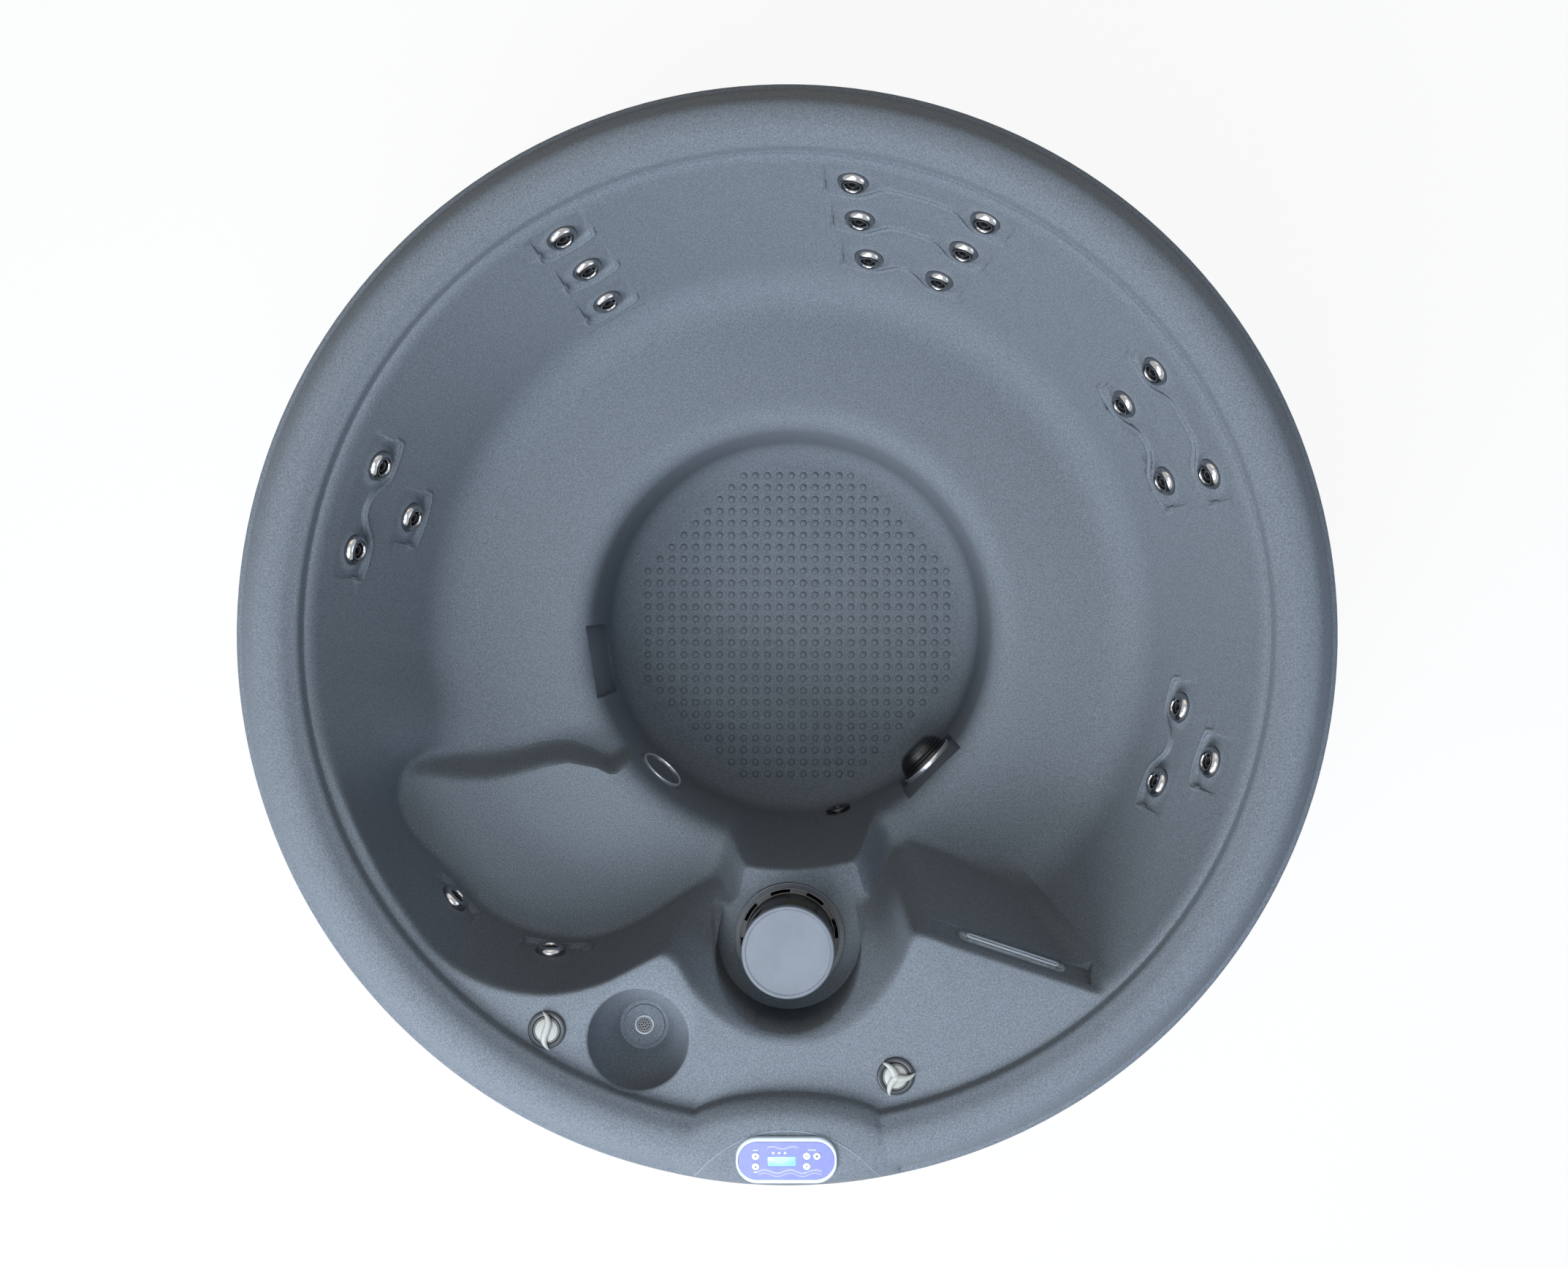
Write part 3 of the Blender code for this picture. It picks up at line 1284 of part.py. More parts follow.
def jet_branch(back, normal, foot):
    """Open cup behind the wall that holds a jet's neck, with its hose down to a foot in the manifold."""
    across = Vector((0.0, 0.0, 1.0)).cross(normal).normalized()
    end = back - normal * JET_BODY_LENGTH
    bend = end - normal * HOSE_RADIUS
    down = (foot - bend).normalized()
    socket = JET_BODY_RADIUS - JET_BODY_WALL
    rings = (
        (end + normal * JET_BODY_WALL, -normal, socket),
        (back, -normal, socket),
        (back, -normal, JET_BODY_RADIUS),
        (end, -normal, JET_BODY_RADIUS),
        (bend, (down - normal).normalized(), HOSE_RADIUS),
        (foot, down, HOSE_RADIUS),
    )
    sections = []
    for centre, along, radius in rings:
        other = along.cross(across)
        turns = [2 * pi * k / BRANCH_SIDES for k in range(BRANCH_SIDES)]
        sections.append([centre + (across * cos(a) + other * sin(a)) * radius for a in turns])
    mesh = loft(sections)
    bmesh.ops.triangulate(mesh, faces=mesh.faces)
    return mesh


def jet_plumbing(mould):
    """Pipe from the heater up to a ring along the posts, with a branch for each jet."""
    start = Vector((box_end() - BOX_LENGTH - HEATER_SPACE - SEAT_GAP, pump_axis().y, heater_height()))
    ring = POST_FACE - POST_DEPTH - PIPE_RADIUS - SEAT_GAP
    bend = start + Vector((-PIPE_RADIUS, 0.0, 0.0))
    bearing = degrees(atan2(bend.y, bend.x)) + 360.0
    rise = polar(ring, bearing - MANIFOLD_STEP / 4, (heater_height() + MANIFOLD_HEIGHT) / 2)
    first = bearing - MANIFOLD_STEP / 2
    run = [start, bend, rise]
    run += [polar(ring, first - i * MANIFOLD_STEP, MANIFOLD_HEIGHT) for i in range(MANIFOLD_STEPS)]
    made = finish("jet_plumbing", piped(run, PIPE_RADIUS, BRANCH_SIDES), pipe_plastic())
    for point, normal in jet_places(mould):
        back = mould.back(point, normal) - normal * (SEAT_GAP * 2)
        turn = (degrees(atan2(back.y, back.x)) + 90.0) % 360.0 - 90.0
        turn = min(turn, first - MANIFOLD_STEP / 4)
        made = combine(made, jet_branch(back, normal, polar(ring, turn, MANIFOLD_HEIGHT)), "UNION")
    return made


def build():
    clear_scene()
    mould = Mould()
    places = jet_places(mould)
    for number, (point, normal) in enumerate(places, 1):
        jet(number, point, normal)
    jet_plumbing(mould)
    footwell_light(mould)
    floor_drain(mould)
    suction_cover()
    bucket_drain()
    waterfall_spout(mould)
    tub_shell(mould)
    for side, place in zip(("left", "right"), valve_places()):
        valve(f"valve_{side}", place)
    knob("knob_left", s_lever_outline(), valve_places()[0])
    knob("knob_right", arm_outline(), valve_places()[1])
    filter_housing()
    filter_weir()
    filter_lid()
    filter_cartridge()
    panel_bezel()
    panel_overlay()
    panel_display()
    for number, centre in enumerate(button_centres(), 1):
        panel_button(number, centre)
    quarter = STAVE_COUNT // 8
    skirt_panel("skirt_right", quarter, 3 * quarter)
    skirt_panel("skirt_back", 3 * quarter, 5 * quarter)
    skirt_panel("skirt_left", 5 * quarter, 7 * quarter)
    skirt_front()
    access_door()
    base_pan()
    cabinet_frame()
    footwell_pad()
    pump_motor()
    pump_wet_end()
    control_box()
    heater_tube()
    suction_pipe()


build()
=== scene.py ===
# %% [markdown]
# # A round moulded hot tub
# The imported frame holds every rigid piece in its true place. This lesson dresses it. The shell is
# drawn again with its soft corners, the fittings get their fine shapes, and every piece gets a
# finish. Lengths are in metres, +Z is up, and the control panel is towards -Y. Bearings are in
# degrees, counter-clockwise from +X as seen from above.

import json
from math import asin, cos, degrees, pi, radians, sin

import bmesh
import bpy
import numpy as np
from mathutils import Matrix, Vector

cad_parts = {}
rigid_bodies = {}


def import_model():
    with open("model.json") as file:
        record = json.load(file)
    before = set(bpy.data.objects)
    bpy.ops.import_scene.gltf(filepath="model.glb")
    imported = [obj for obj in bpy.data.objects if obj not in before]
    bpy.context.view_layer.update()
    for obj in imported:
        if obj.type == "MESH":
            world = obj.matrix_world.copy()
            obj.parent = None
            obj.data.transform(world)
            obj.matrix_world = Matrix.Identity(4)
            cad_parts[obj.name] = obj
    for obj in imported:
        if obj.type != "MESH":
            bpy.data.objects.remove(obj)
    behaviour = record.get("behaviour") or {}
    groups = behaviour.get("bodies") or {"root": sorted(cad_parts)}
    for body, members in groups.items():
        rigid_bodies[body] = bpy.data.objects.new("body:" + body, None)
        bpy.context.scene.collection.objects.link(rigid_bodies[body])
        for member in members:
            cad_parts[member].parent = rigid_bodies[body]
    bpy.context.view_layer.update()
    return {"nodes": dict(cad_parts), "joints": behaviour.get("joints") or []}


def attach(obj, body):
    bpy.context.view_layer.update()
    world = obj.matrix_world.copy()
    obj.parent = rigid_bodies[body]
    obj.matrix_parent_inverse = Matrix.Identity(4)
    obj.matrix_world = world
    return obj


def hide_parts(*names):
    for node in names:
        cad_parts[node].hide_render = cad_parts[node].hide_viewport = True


for old in list(bpy.data.objects):
    bpy.data.objects.remove(old)
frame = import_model()
joints = {joint["child"]: joint for joint in frame["joints"]}
print("CAD nodes:", len(frame["nodes"]), "moving bodies:", len(joints))

# %% [markdown]
# ## The mould's sizes
# A real shell of this kind is one piece, drawn or spun over a mould. All of its form therefore
# comes from one profile that changes with the bearing: rim, back wall, bench, nose and footwell.
# These are the sizes of the rigid model, so that the fittings meet the soft shape too.

# %% Sizes of the mould
OUTER, RIM, WALL = 0.99, 0.89, 0.009
RIM_WIDTH, LIP_DROP, BEAD_DROP, BEAD_DEPTH = 0.118, 0.095, 0.05, 0.012
OPENING = OUTER - RIM_WIDTH
LEDGE, EDGE_DROP = 0.01, 0.012
LEDGE_RADIUS = OPENING - LEDGE
DECK, BENCH, RAISED, TOWER, FLOOR = 0.84, 0.44, 0.53, 0.634, 0.065
BENCH_FOOT, NOSE, WELL = 0.697, 0.45, 0.405
PANEL_BEARING, SWELL_HALF, APRON_HALF, SWELL_IN, SWELL_UP = 270, 10.8, 12.0, 0.0485, 0.008
STEP_OFFSET, STEP_OUTER = 0.265, 0.8
STEP_TURN = degrees(asin(STEP_OFFSET / STEP_OUTER))
STEP_EDGE = 181.0 + STEP_TURN
FALL_BEARING, FALL_OFFSET, FALL_LEAN = 71.9, 0.4412, 0.115
FILTER = Vector((0.0, -0.584, 0.63))
BUCKET = Vector((-0.26801, -0.72843, DECK))
DECK_EDGE = ((192, 0.988), (204, 0.977), (215, 0.98), (224, 0.978), (229.3, 0.954), (236, 0.897),
             (242, 0.817), (246.4, 0.742), (248.5, 0.713), (251, 0.716), (255, 0.76), (261, 0.811),
             (266.8, 0.837), (271, 0.842), (275.4, 0.838), (280.6, 0.807), (285.7, 0.764), (289.7, 0.718),
             (293, 0.679), (295.5, 0.69))
SEAT_FOOT = ((180, 0.799), (196, 0.85), (199, 0.912), (217, 0.93), (223, 0.921), (229.6, 0.885),
             (236, 0.83), (242, 0.742), (248, 0.634), (253, 0.572), (261, 0.585), (284, 0.585),
             (290, 0.56), (295.5, 0.54))
print("opening", OPENING, "step edge", round(STEP_EDGE, 2))

# %% [markdown]
# ## Small helpers
# Blender's operators work on what is selected and active, in object mode or in edit mode. These
# helpers set that up, and they leave the mesh welded, with its faces turned outwards.


# %% Helpers that select
def select_only(obj, *others):
    """Select the objects and make the first one active."""
    bpy.ops.object.select_all(action="DESELECT")
    for each in (obj, *others):
        each.select_set(True)
    bpy.context.view_layer.objects.active = obj


def edit(obj):
    """Go to edit mode with the whole mesh selected."""
    select_only(obj)
    bpy.ops.object.mode_set(mode="EDIT")
    bpy.ops.mesh.select_all(action="SELECT")


def close_up(obj):
    """Weld what meets, turn the faces outwards and go back to object mode."""
    bpy.ops.mesh.select_all(action="SELECT")
    bpy.ops.mesh.remove_doubles(threshold=2e-6)
    bpy.ops.mesh.normals_make_consistent(inside=False)
    bpy.ops.object.mode_set(mode="OBJECT")
    return obj


print("selecting is ready")

# %% [markdown]
# ## Three ways to a form
# A grid primitive can be drawn into any curved sheet. A circle that is extruded and resized again
# and again gives a turned piece, as on a lathe. A flat outline that is filled and extruded gives a
# plate. Nearly every piece is one of these three.

# %% Helpers that make a form
TIP = 1e-6


def drawn_grid(name, points):
    """Grid primitive whose points are drawn to rows and columns of places."""
    rows, columns = points.shape[:2]
    bpy.ops.mesh.primitive_grid_add(x_subdivisions=columns - 1, y_subdivisions=rows - 1, size=1)
    made = bpy.context.object
    made.name = name
    made.data.vertices.foreach_set("co", np.ascontiguousarray(points, np.float32).ravel())
    edit(made)
    return close_up(made)


def turned(name, profile, sides):
    """Turned piece: one circle extruded and resized along a run of radii and heights."""
    radius, height = max(profile[0][0], TIP), profile[0][1]
    bpy.ops.mesh.primitive_circle_add(vertices=sides, radius=radius)
    made = bpy.context.object
    made.name = name
    edit(made)
    bpy.ops.transform.translate(value=(0, 0, height))
    for next_radius, next_height in profile[1:]:
        next_radius = max(next_radius, TIP)
        share = next_radius / radius
        bpy.ops.mesh.extrude_region_move()
        bpy.ops.transform.translate(value=(0, 0, next_height - height))
        bpy.ops.transform.resize(value=(share, share, 1), center_override=(0, 0, 0))
        radius, height = next_radius, next_height
    return close_up(made)


def plate(name, outline, low, high):
    """Flat outline filled and extruded to a thickness."""
    bpy.ops.mesh.primitive_circle_add(vertices=len(outline), radius=1, fill_type="NGON")
    made = bpy.context.object
    made.name = name
    for vertex, (x, y) in zip(made.data.vertices, outline):
        vertex.co = (x, y, low)
    edit(made)
    bpy.ops.mesh.extrude_region_move(TRANSFORM_OT_translate={"value": (0, 0, high - low)})
    return close_up(made)


print("forms are ready")

# %% [markdown]
# ## What changes a form
# A bevel rounds edges, and a Boolean joins two bodies or takes a cutter out of one. Both are
# modifiers, which are applied at once so that the next step works on the finished mesh.


# %% Helpers that change a form
def bevelled(obj, width, segments=2):
    """Round every sharp edge."""
    rounding = obj.modifiers.new("rounding", "BEVEL")
    rounding.width = width
    rounding.segments = segments
    rounding.limit_method = "ANGLE"
    rounding.angle_limit = radians(35)
    return applied(obj, rounding)


def applied(obj, modifier):
    select_only(obj)
    bpy.ops.object.modifier_apply(modifier=modifier.name)
    return obj


def boolean(obj, tool, operation="DIFFERENCE", solver="EXACT"):
    cut = obj.modifiers.new("cut", "BOOLEAN")
    cut.operation = operation
    cut.solver = solver
    cut.object = tool
    applied(obj, cut)
    bpy.data.objects.remove(tool)
    return obj


def litres(obj):
    """Volume that a closed mesh holds."""
    mesh = bmesh.new()
    mesh.from_mesh(obj.data)
    held = 1000 * mesh.calc_volume()
    mesh.free()
    return held


def joined(name, parts):
    select_only(*parts)
    bpy.ops.object.join()
    parts[0].name = name
    return parts[0]


def copy_of(base, name):
    """Copy of a piece that has a mesh of its own."""
    made = base.copy()
    made.data = base.data.copy()
    made.name = name
    bpy.context.scene.collection.objects.link(made)
    return made


def placed(obj, matrix):
    """Move the mesh itself, so that the object stays where it is."""
    obj.data.transform(matrix)
    obj.data.update()
    return obj


def smooth(obj, angle):
    select_only(obj)
    bpy.ops.object.shade_smooth_by_angle(angle=radians(angle))
    return obj


print("changes are ready")

# %% [markdown]
# ## Places and outlines
# A fitting is made at the origin, where it is easy to measure, and is then moved to its place by
# one matrix. Outlines are short lists of points, and profiles are given in millimetres, as they
# would stand on a drawing.

# %% Helpers for places and outlines
shift = Matrix.Translation


def facing(point, normal):
    """Place at a point whose own Z looks along the normal."""
    return shift(Vector(point)) @ Vector(normal).to_track_quat("Z", "Y").to_matrix().to_4x4()


def polar(radius, bearing, height=0.0):
    return Vector((radius * cos(radians(bearing)), radius * sin(radians(bearing)), height))


def arc(radius, angles):
    return [(radius * cos(a), radius * sin(a)) for a in angles]


def oblong(half_x, half_y):
    return [(-half_x, -half_y), (half_x, -half_y), (half_x, half_y), (-half_x, half_y)]


def mm(pairs):
    """Pairs of millimetres, such as the radii and heights of a profile, as metres."""
    return [(x / 1000, y / 1000) for x, y in pairs]


print("places and outlines are ready")

# %% [markdown]
# ## Finishes
# The shell is a matte, speckled plastic that looks like grey granite. Fine light and dark grains
# come from noise, and a very low bump gives the pebbled skin. The other finishes are plain: chrome,
# black and pale plastics, a clear plastic and the satin grey of the filter lid.


# %% Finishes
def with_inputs(node, **values):
    for label, value in values.items():
        node.inputs[label.replace("_", " ")].default_value = value
    return node


def added(tree, kind, **values):
    """New shader node with its inputs set."""
    return with_inputs(tree.nodes.new("ShaderNode" + kind), **values)


def grained(material, scale, dark, light, bump=0.0):
    """Noise grains in the colour, with a low relief that follows a finer noise."""
    tree = material.node_tree
    shader = tree.nodes["Principled BSDF"]
    base = shader.inputs["Base Color"].default_value[:3]
    place = added(tree, "TexCoord")
    noise = added(tree, "TexNoise", Scale=scale, Detail=3.0, Roughness=0.7)
    ramp = added(tree, "ValToRGB")
    for stop, position, share in zip(ramp.color_ramp.elements, (0.36, 0.66), (dark, light)):
        stop.position = position
        stop.color = (*(c * share for c in base), 1)
    tree.links.new(place.outputs["Object"], noise.inputs["Vector"])
    tree.links.new(noise.outputs["Fac"], ramp.inputs["Fac"])
    tree.links.new(ramp.outputs["Color"], shader.inputs["Base Color"])
    if bump:
        relief = added(tree, "Bump", Distance=bump, Strength=0.5)
        tree.links.new(noise.outputs["Fac"], relief.inputs["Height"])
        tree.links.new(relief.outputs["Normal"], shader.inputs["Normal"])


def finish_of(name, colour, roughness, metallic=0.0, slot=None, grains=(), **more):
    """Principled finish, with grains if they are given. Its slot is the record's material slot."""
    made = bpy.data.materials.new(name)
    made["slot"] = slot or name
    made.use_nodes = True
    more |= {"Base_Color": (*colour, 1), "Roughness": roughness, "Metallic": metallic}
    with_inputs(made.node_tree.nodes["Principled BSDF"], **more)
    if grains:
        grained(made, *grains)
    return made


granite = finish_of("granite_plastic", (0.178, 0.195, 0.216), 0.66, Specular_IOR_Level=0.14,
                    grains=(330, 0.74, 1.28, 0.0012))
# A lighter copy of the granite: painted highlight for the line round the panel's flat.
granite_painted_highlight = finish_of("granite_painted_highlight", (0.3, 0.34, 0.38), 0.5, slot="granite_plastic",
                          grains=(330, 0.8, 1.2))
# A darker copy of the granite: painted shade round the foot of each floor button.
granite_painted_shade = finish_of("granite_painted_shade", (0.06, 0.066, 0.075), 0.7, slot="granite_plastic",
                         grains=(330, 0.8, 1.2))
chrome = finish_of("chrome", (0.4, 0.4, 0.41), 0.13, 1.0)
silver = finish_of("satin_silver", (0.78, 0.8, 0.84), 0.25, 0.6, slot="chrome")
black = finish_of("black_plastic", (0.016, 0.016, 0.018), 0.34, grains=(300, 0.8, 1.2))
dark_ring = finish_of("dark_ring", (0.05, 0.055, 0.065), 0.4, slot="black_plastic", grains=(300, 0.9, 1.1))
pale = finish_of("pale_plastic", (0.42, 0.41, 0.375), 0.42, grains=(240, 0.93, 1.05, 0.0004))
lid_grey = finish_of("lid_grey", (0.14, 0.155, 0.182), 0.36, grains=(14, 0.92, 1.08))
tab_brown = finish_of("tab_brown", (0.1, 0.095, 0.085), 0.5, slot="black_plastic", grains=(200, 0.9, 1.1))
clear = finish_of("clear_plastic", (0.7, 0.73, 0.75), 0.14, IOR=1.25, Transmission_Weight=0.85)
pipe = finish_of("pipe_plastic", (0.72, 0.72, 0.7), 0.42, grains=(60, 0.95, 1.03))
steel = finish_of("steel", (0.5, 0.51, 0.53), 0.3, 1.0, grains=(40, 0.9, 1.08))
timber = finish_of("timber", (0.5, 0.35, 0.2), 0.75, grains=(30, 0.8, 1.12, 0.0008))
motor = finish_of("motor_grey", (0.1, 0.11, 0.12), 0.45, 0.6, grains=(200, 0.85, 1.15, 0.0005))
foam = finish_of("foam", (0.66, 0.62, 0.47), 0.9, grains=(200, 0.85, 1.1, 0.001))
panel_white = finish_of("panel_white", (0.72, 0.79, 0.84), 0.26, grains=(30, 0.98, 1.02))
violet = finish_of("panel_violet", (0.165, 0.18, 0.5), 0.3, grains=(90, 0.94, 1.06))
print_white = finish_of("print_white", (0.78, 0.82, 0.9), 0.4, slot="panel_violet")
print_dark = finish_of("print_dark", (0.06, 0.07, 0.2), 0.4, slot="button_white")
display = finish_of("display", (0.32, 0.6, 0.64), 0.12)
button_white = finish_of("button_white", (0.86, 0.88, 0.9), 0.35)
print("finishes:", len(bpy.data.materials))

# %% [markdown]
# ## The profile at a bearing
# The tables say where the deck ends and where the seats begin. Smooth curves run through them, so
# the walls flow into each other as they do in a shell drawn over a mould.


# %% Curves of the mould
def ease(t):
    t = np.clip(t, 0.0, 1.0)
    return t * t * (3 - 2 * t)


def through(rows, at):
    """Smooth curve through a table of bearings and values."""
    x, y = np.array(rows, float).T
    slope = np.gradient(y, x)
    i = np.clip(np.searchsorted(x, at) - 1, 0, len(x) - 2)
    width = x[i + 1] - x[i]
    t = np.clip((at - x[i]) / width, 0.0, 1.0)
    ends = y[i] * (1 + 2 * t) * (1 - t) ** 2 + y[i + 1] * t * t * (3 - 2 * t)
    return ends + width * t * (1 - t) * (slope[i] * (1 - t) - slope[i + 1] * t)


def soft_least(a, b, width):
    """The lesser of two values, with a soft passage where they meet."""
    return (a + b - np.sqrt((a - b) ** 2 + width ** 2)) / 2


def fall_line(offset, b):
    """Radius at which a bearing meets the straight wall of the waterfall."""
    return offset / np.maximum(-np.cos(np.radians(b - FALL_BEARING)), 0.1)


def tower_share(b):
    """How far the wall stands forward as the tower of the filter, from 0 to 1."""
    return ease((b - 251.5) / 9) * ease((296 - b) / 11)


def basin_at(b):
    """Deck edge, seat foot, seat level and nose radius at bearings from -45 to 315."""
    tower = tower_share(b)
    turn = ease((b - 292) / 6)
    corner = 0.012 * ease((b - 292) / 8) * ease((315 - b) / 6)
    edge = OPENING * through(DECK_EDGE, b) * (1 - turn) + fall_line(FALL_OFFSET, b) * turn
    edge = np.where(b < 192, LEDGE_RADIUS, soft_least(edge, LEDGE_RADIUS, corner))
    foot = OPENING * through(SEAT_FOOT, b) * (1 - turn) + fall_line(FALL_OFFSET - FALL_LEAN, b) * turn
    foot = np.where(b > 275, soft_least(foot, BENCH_FOOT, corner), foot)
    foot = np.where(b < 180, BENCH_FOOT, foot)
    nose = NOSE + 0.048 * tower
    foot = np.maximum(foot, nose + 0.03)
    rise = ease((b - STEP_EDGE + 4.6) / 5.4) * (b < 270)
    level = BENCH + rise * (RAISED - BENCH)
    level = level + (TOWER - level) * tower
    return edge, foot, level, nose


print("deck edge at 220 degrees:", round(float(basin_at(np.array([220.0]))[0][0]), 4))

# %% [markdown]
# ## Stations
# The surface is drawn along station lines, one for each bearing. They stand close together where
# the wall turns sharply and far apart on the plain bench. By the raised seat they lean, so that
# its step follows a slow S and isn't cut into a staircase.

# %% Station lines
STEP_LINE = ((0.45, 0.276), (0.475, 0.252), (0.51, 0.247), (0.56, 0.256), (0.61, 0.27), (0.69, 0.28),
             (0.75, 0.274), (0.8, STEP_OFFSET))


def stations():
    """Bearings of the station lines, closer together where the wall turns sharply."""
    runs = ((-45, 180, 2.0), (180, 194, 1.0), (194, 204, 0.5), (204, 244, 1.0), (244, 254, 0.75),
            (254, 260, 0.25), (260, 280, 0.5), (280, 286, 0.25), (286, 300, 0.75), (300, 315, 0.5))
    return np.concatenate([np.arange(a, b, step) for a, b, step in runs] + [[315.0]])


def leant(b, radius):
    """Bearing at a radius: by the raised seat the lines lean with the slow S of its front edge."""
    before = ease((b - 165) / (STEP_EDGE - 3 - 165))
    after = ease((245 - b) / (245 - STEP_EDGE))
    share = np.where(b < STEP_EDGE, before, after)
    reach = np.clip(radius, NOSE, STEP_OUTER)
    lean = np.degrees(np.arcsin(through(STEP_LINE, reach) / reach)) - STEP_TURN
    return b + share * lean


lines = stations()
print("station lines:", len(lines))

# %% [markdown]
# ## Corners of the profile
# At each station the profile is a short list of corners. The rim swells a little round the control
# panel, where an apron fills the groove under its crown. The basin's corners run from the deck's
# edge down the wall, over the seat and its nose, to the middle of the floor.


# %% Corners of the rim and the basin
def rim_corners(b):
    """Radii and heights from the outer edge of the rim over its crown to the ledge inside."""
    away = np.abs(b - PANEL_BEARING)
    swell = (1 - np.clip(away / SWELL_HALF, 0, 1) ** 2) ** 0.75
    apron = (1 - np.clip(away / APRON_HALF, 0, 1) ** 2) ** 0.5
    inner = OPENING - swell * SWELL_IN
    top = RIM + swell * SWELL_UP
    flat = np.ones_like(b)
    return [
        (OUTER * flat, (RIM - LIP_DROP) * flat),
        (OUTER * flat, (RIM - BEAD_DROP) * flat),
        ((OUTER - BEAD_DEPTH) * flat, RIM - BEAD_DROP + BEAD_DEPTH / 4 + 0.026 * apron),
        ((OUTER - RIM_WIDTH * 0.19) * flat, top - BEAD_DROP * (0.55 - 0.42 * apron)),
        ((OUTER - RIM_WIDTH * 0.34) * flat, top - BEAD_DROP * 0.1),
        ((OUTER - RIM_WIDTH * 0.53) * flat, top),
        (inner + RIM_WIDTH * 0.25, top - BEAD_DROP * 0.07),
        (inner + RIM_WIDTH * 0.09, top - BEAD_DROP * 0.36),
        (inner, (DECK + 0.024) * flat),
        (inner - LEDGE / 3, DECK * flat),
    ]


def basin_corners(b):
    """Radii and heights from the deck's edge down to the middle of the floor."""
    edge, foot, level, nose = basin_at(b)
    lean = (edge - foot) / (DECK - level)
    flat = np.ones_like(b)
    return [(edge, DECK * flat), (edge - EDGE_DROP * (0.4 + lean), (DECK - EDGE_DROP) * flat),
            (foot, level), (nose - 0.045, level), (WELL * flat, FLOOR * flat), (0.0 * flat, FLOOR * flat)]


print("corners:", len(rim_corners(lines)), "on the rim,", len(basin_corners(lines)), "in the basin")

# %% [markdown]
# ## From corners to a sheet
# A moulded sheet has no sharp corner, so each one is drawn as a curve. All stations keep the same
# count of points, which lets one grid run right round the tub.


# %% Rounded runs
def as_run(corners):
    """Corners as one array of stations, corners, and a radius and a height."""
    return np.stack([np.stack(np.broadcast_arrays(r, z), -1) for r, z in corners], 1)


def rounded(corners, cuts, samples, splits):
    """Run through corners with each corner drawn as a curve; all stations keep the same count."""
    p = as_run(corners)
    run = [p[:, 0]]
    run_end = p[:, 0]
    for k in range(1, p.shape[1] - 1):
        back, ahead = p[:, k - 1] - p[:, k], p[:, k + 1] - p[:, k]
        back_length = np.linalg.norm(back, axis=1, keepdims=True)
        ahead_length = np.linalg.norm(ahead, axis=1, keepdims=True)
        start = p[:, k] + back * np.minimum(cuts[k - 1] / back_length, 0.46)
        end = p[:, k] + ahead * np.minimum(cuts[k - 1] / ahead_length, 0.46)
        for i in range(1, splits[k - 1]):
            t = i / splits[k - 1]
            run.append(run_end * (1 - t) + start * t)
        for t in np.linspace(0, 1, samples[k - 1]):
            run.append(start * (1 - t) ** 2 + p[:, k] * 2 * t * (1 - t) + end * t * t)
        run_end = end
    for i in range(1, splits[-1] + 1):
        t = i / splits[-1]
        run.append(run_end * (1 - t) + p[:, -1] * t)
    return np.stack(run, 1)


def sheet_points(b, run, start):
    """Places of a run of radii and heights at each station, after a plain start of its own."""
    lead = np.broadcast_to(np.array(start, float), (len(b), len(start), 2))
    run = np.concatenate([lead, run], 1)
    angle = np.radians(leant(b[:, None], run[..., 0]))
    return np.stack([run[..., 0] * np.cos(angle), run[..., 0] * np.sin(angle), run[..., 1]], -1)


print("rounding is ready")

# %% [markdown]
# ## The shell
# The upper face is a grid drawn to the profile at every station line. Round the filter bay the
# surface sinks in a narrow soft lip, as the plastic does where it is drawn over the bay's edge.

# %% Upper face of the shell
POCKET_RADIUS, POCKET_FRONT, BAY_FRONT = 0.136, 0.114, -0.441


def bay_distance(x, y):
    """How far a place is outside the filter bay, in plan."""
    back = np.hypot(x, y - FILTER.y) - POCKET_RADIUS
    half = POCKET_RADIUS + (POCKET_FRONT - POCKET_RADIUS) * (y - FILTER.y) / (FILTER.y - BAY_FRONT)
    return np.where(y < FILTER.y, back, np.abs(x) - half)


def bay_lip(points, width=0.007):
    """Let the surface sink softly along the edge of the filter bay."""
    x, y, z = points[..., 0], points[..., 1], points[..., 2]
    share = np.clip(1 - bay_distance(x, y) / width, 0, 1)
    near = (y < -0.42) & (y > -0.8) & (np.abs(x) < 0.2)
    deep = np.clip(z - FILTER.z + 0.001, 0, width * 0.9)
    drop = deep * (1 - np.sqrt(np.clip(1 - share ** 2, 0, 1)))
    points[..., 2] = z - np.where(near, drop, 0)
    return points


by_seat = (ease((lines - 194) / 8) * ease((312 - lines) / 8))[:, None]
by_tower = tower_share(lines)[:, None]
CUTS = (0.006, 0.004, 0.012, 0.02, 0.03, 0.02, 0.014, 0.006, 0.004, 0.008, 0.011,
        0.072 - 0.05 * by_seat, 0.062 - 0.042 * by_tower, 0.05)
SAMPLES = (4, 4, 4, 5, 5, 5, 5, 4, 4, 4, 5, 10, 10, 8)
SPLITS = (2, 1, 1, 1, 1, 1, 1, 1, 1, 2, 1, 30, 8, 6, 6)
run = rounded(rim_corners(lines) + basin_corners(lines), CUTS, SAMPLES, SPLITS)
points = sheet_points(lines, run, [(0.0, FLOOR / 2), (OUTER, FLOOR / 2)])
shell = drawn_grid("shell", bay_lip(points))
print("upper face:", len(shell.data.polygons), "faces")

# %% [markdown]
# The underside follows one wall below. It is kept as a second body that is taken out of the first,
# so that the shell stays an even sheet with a closed edge.


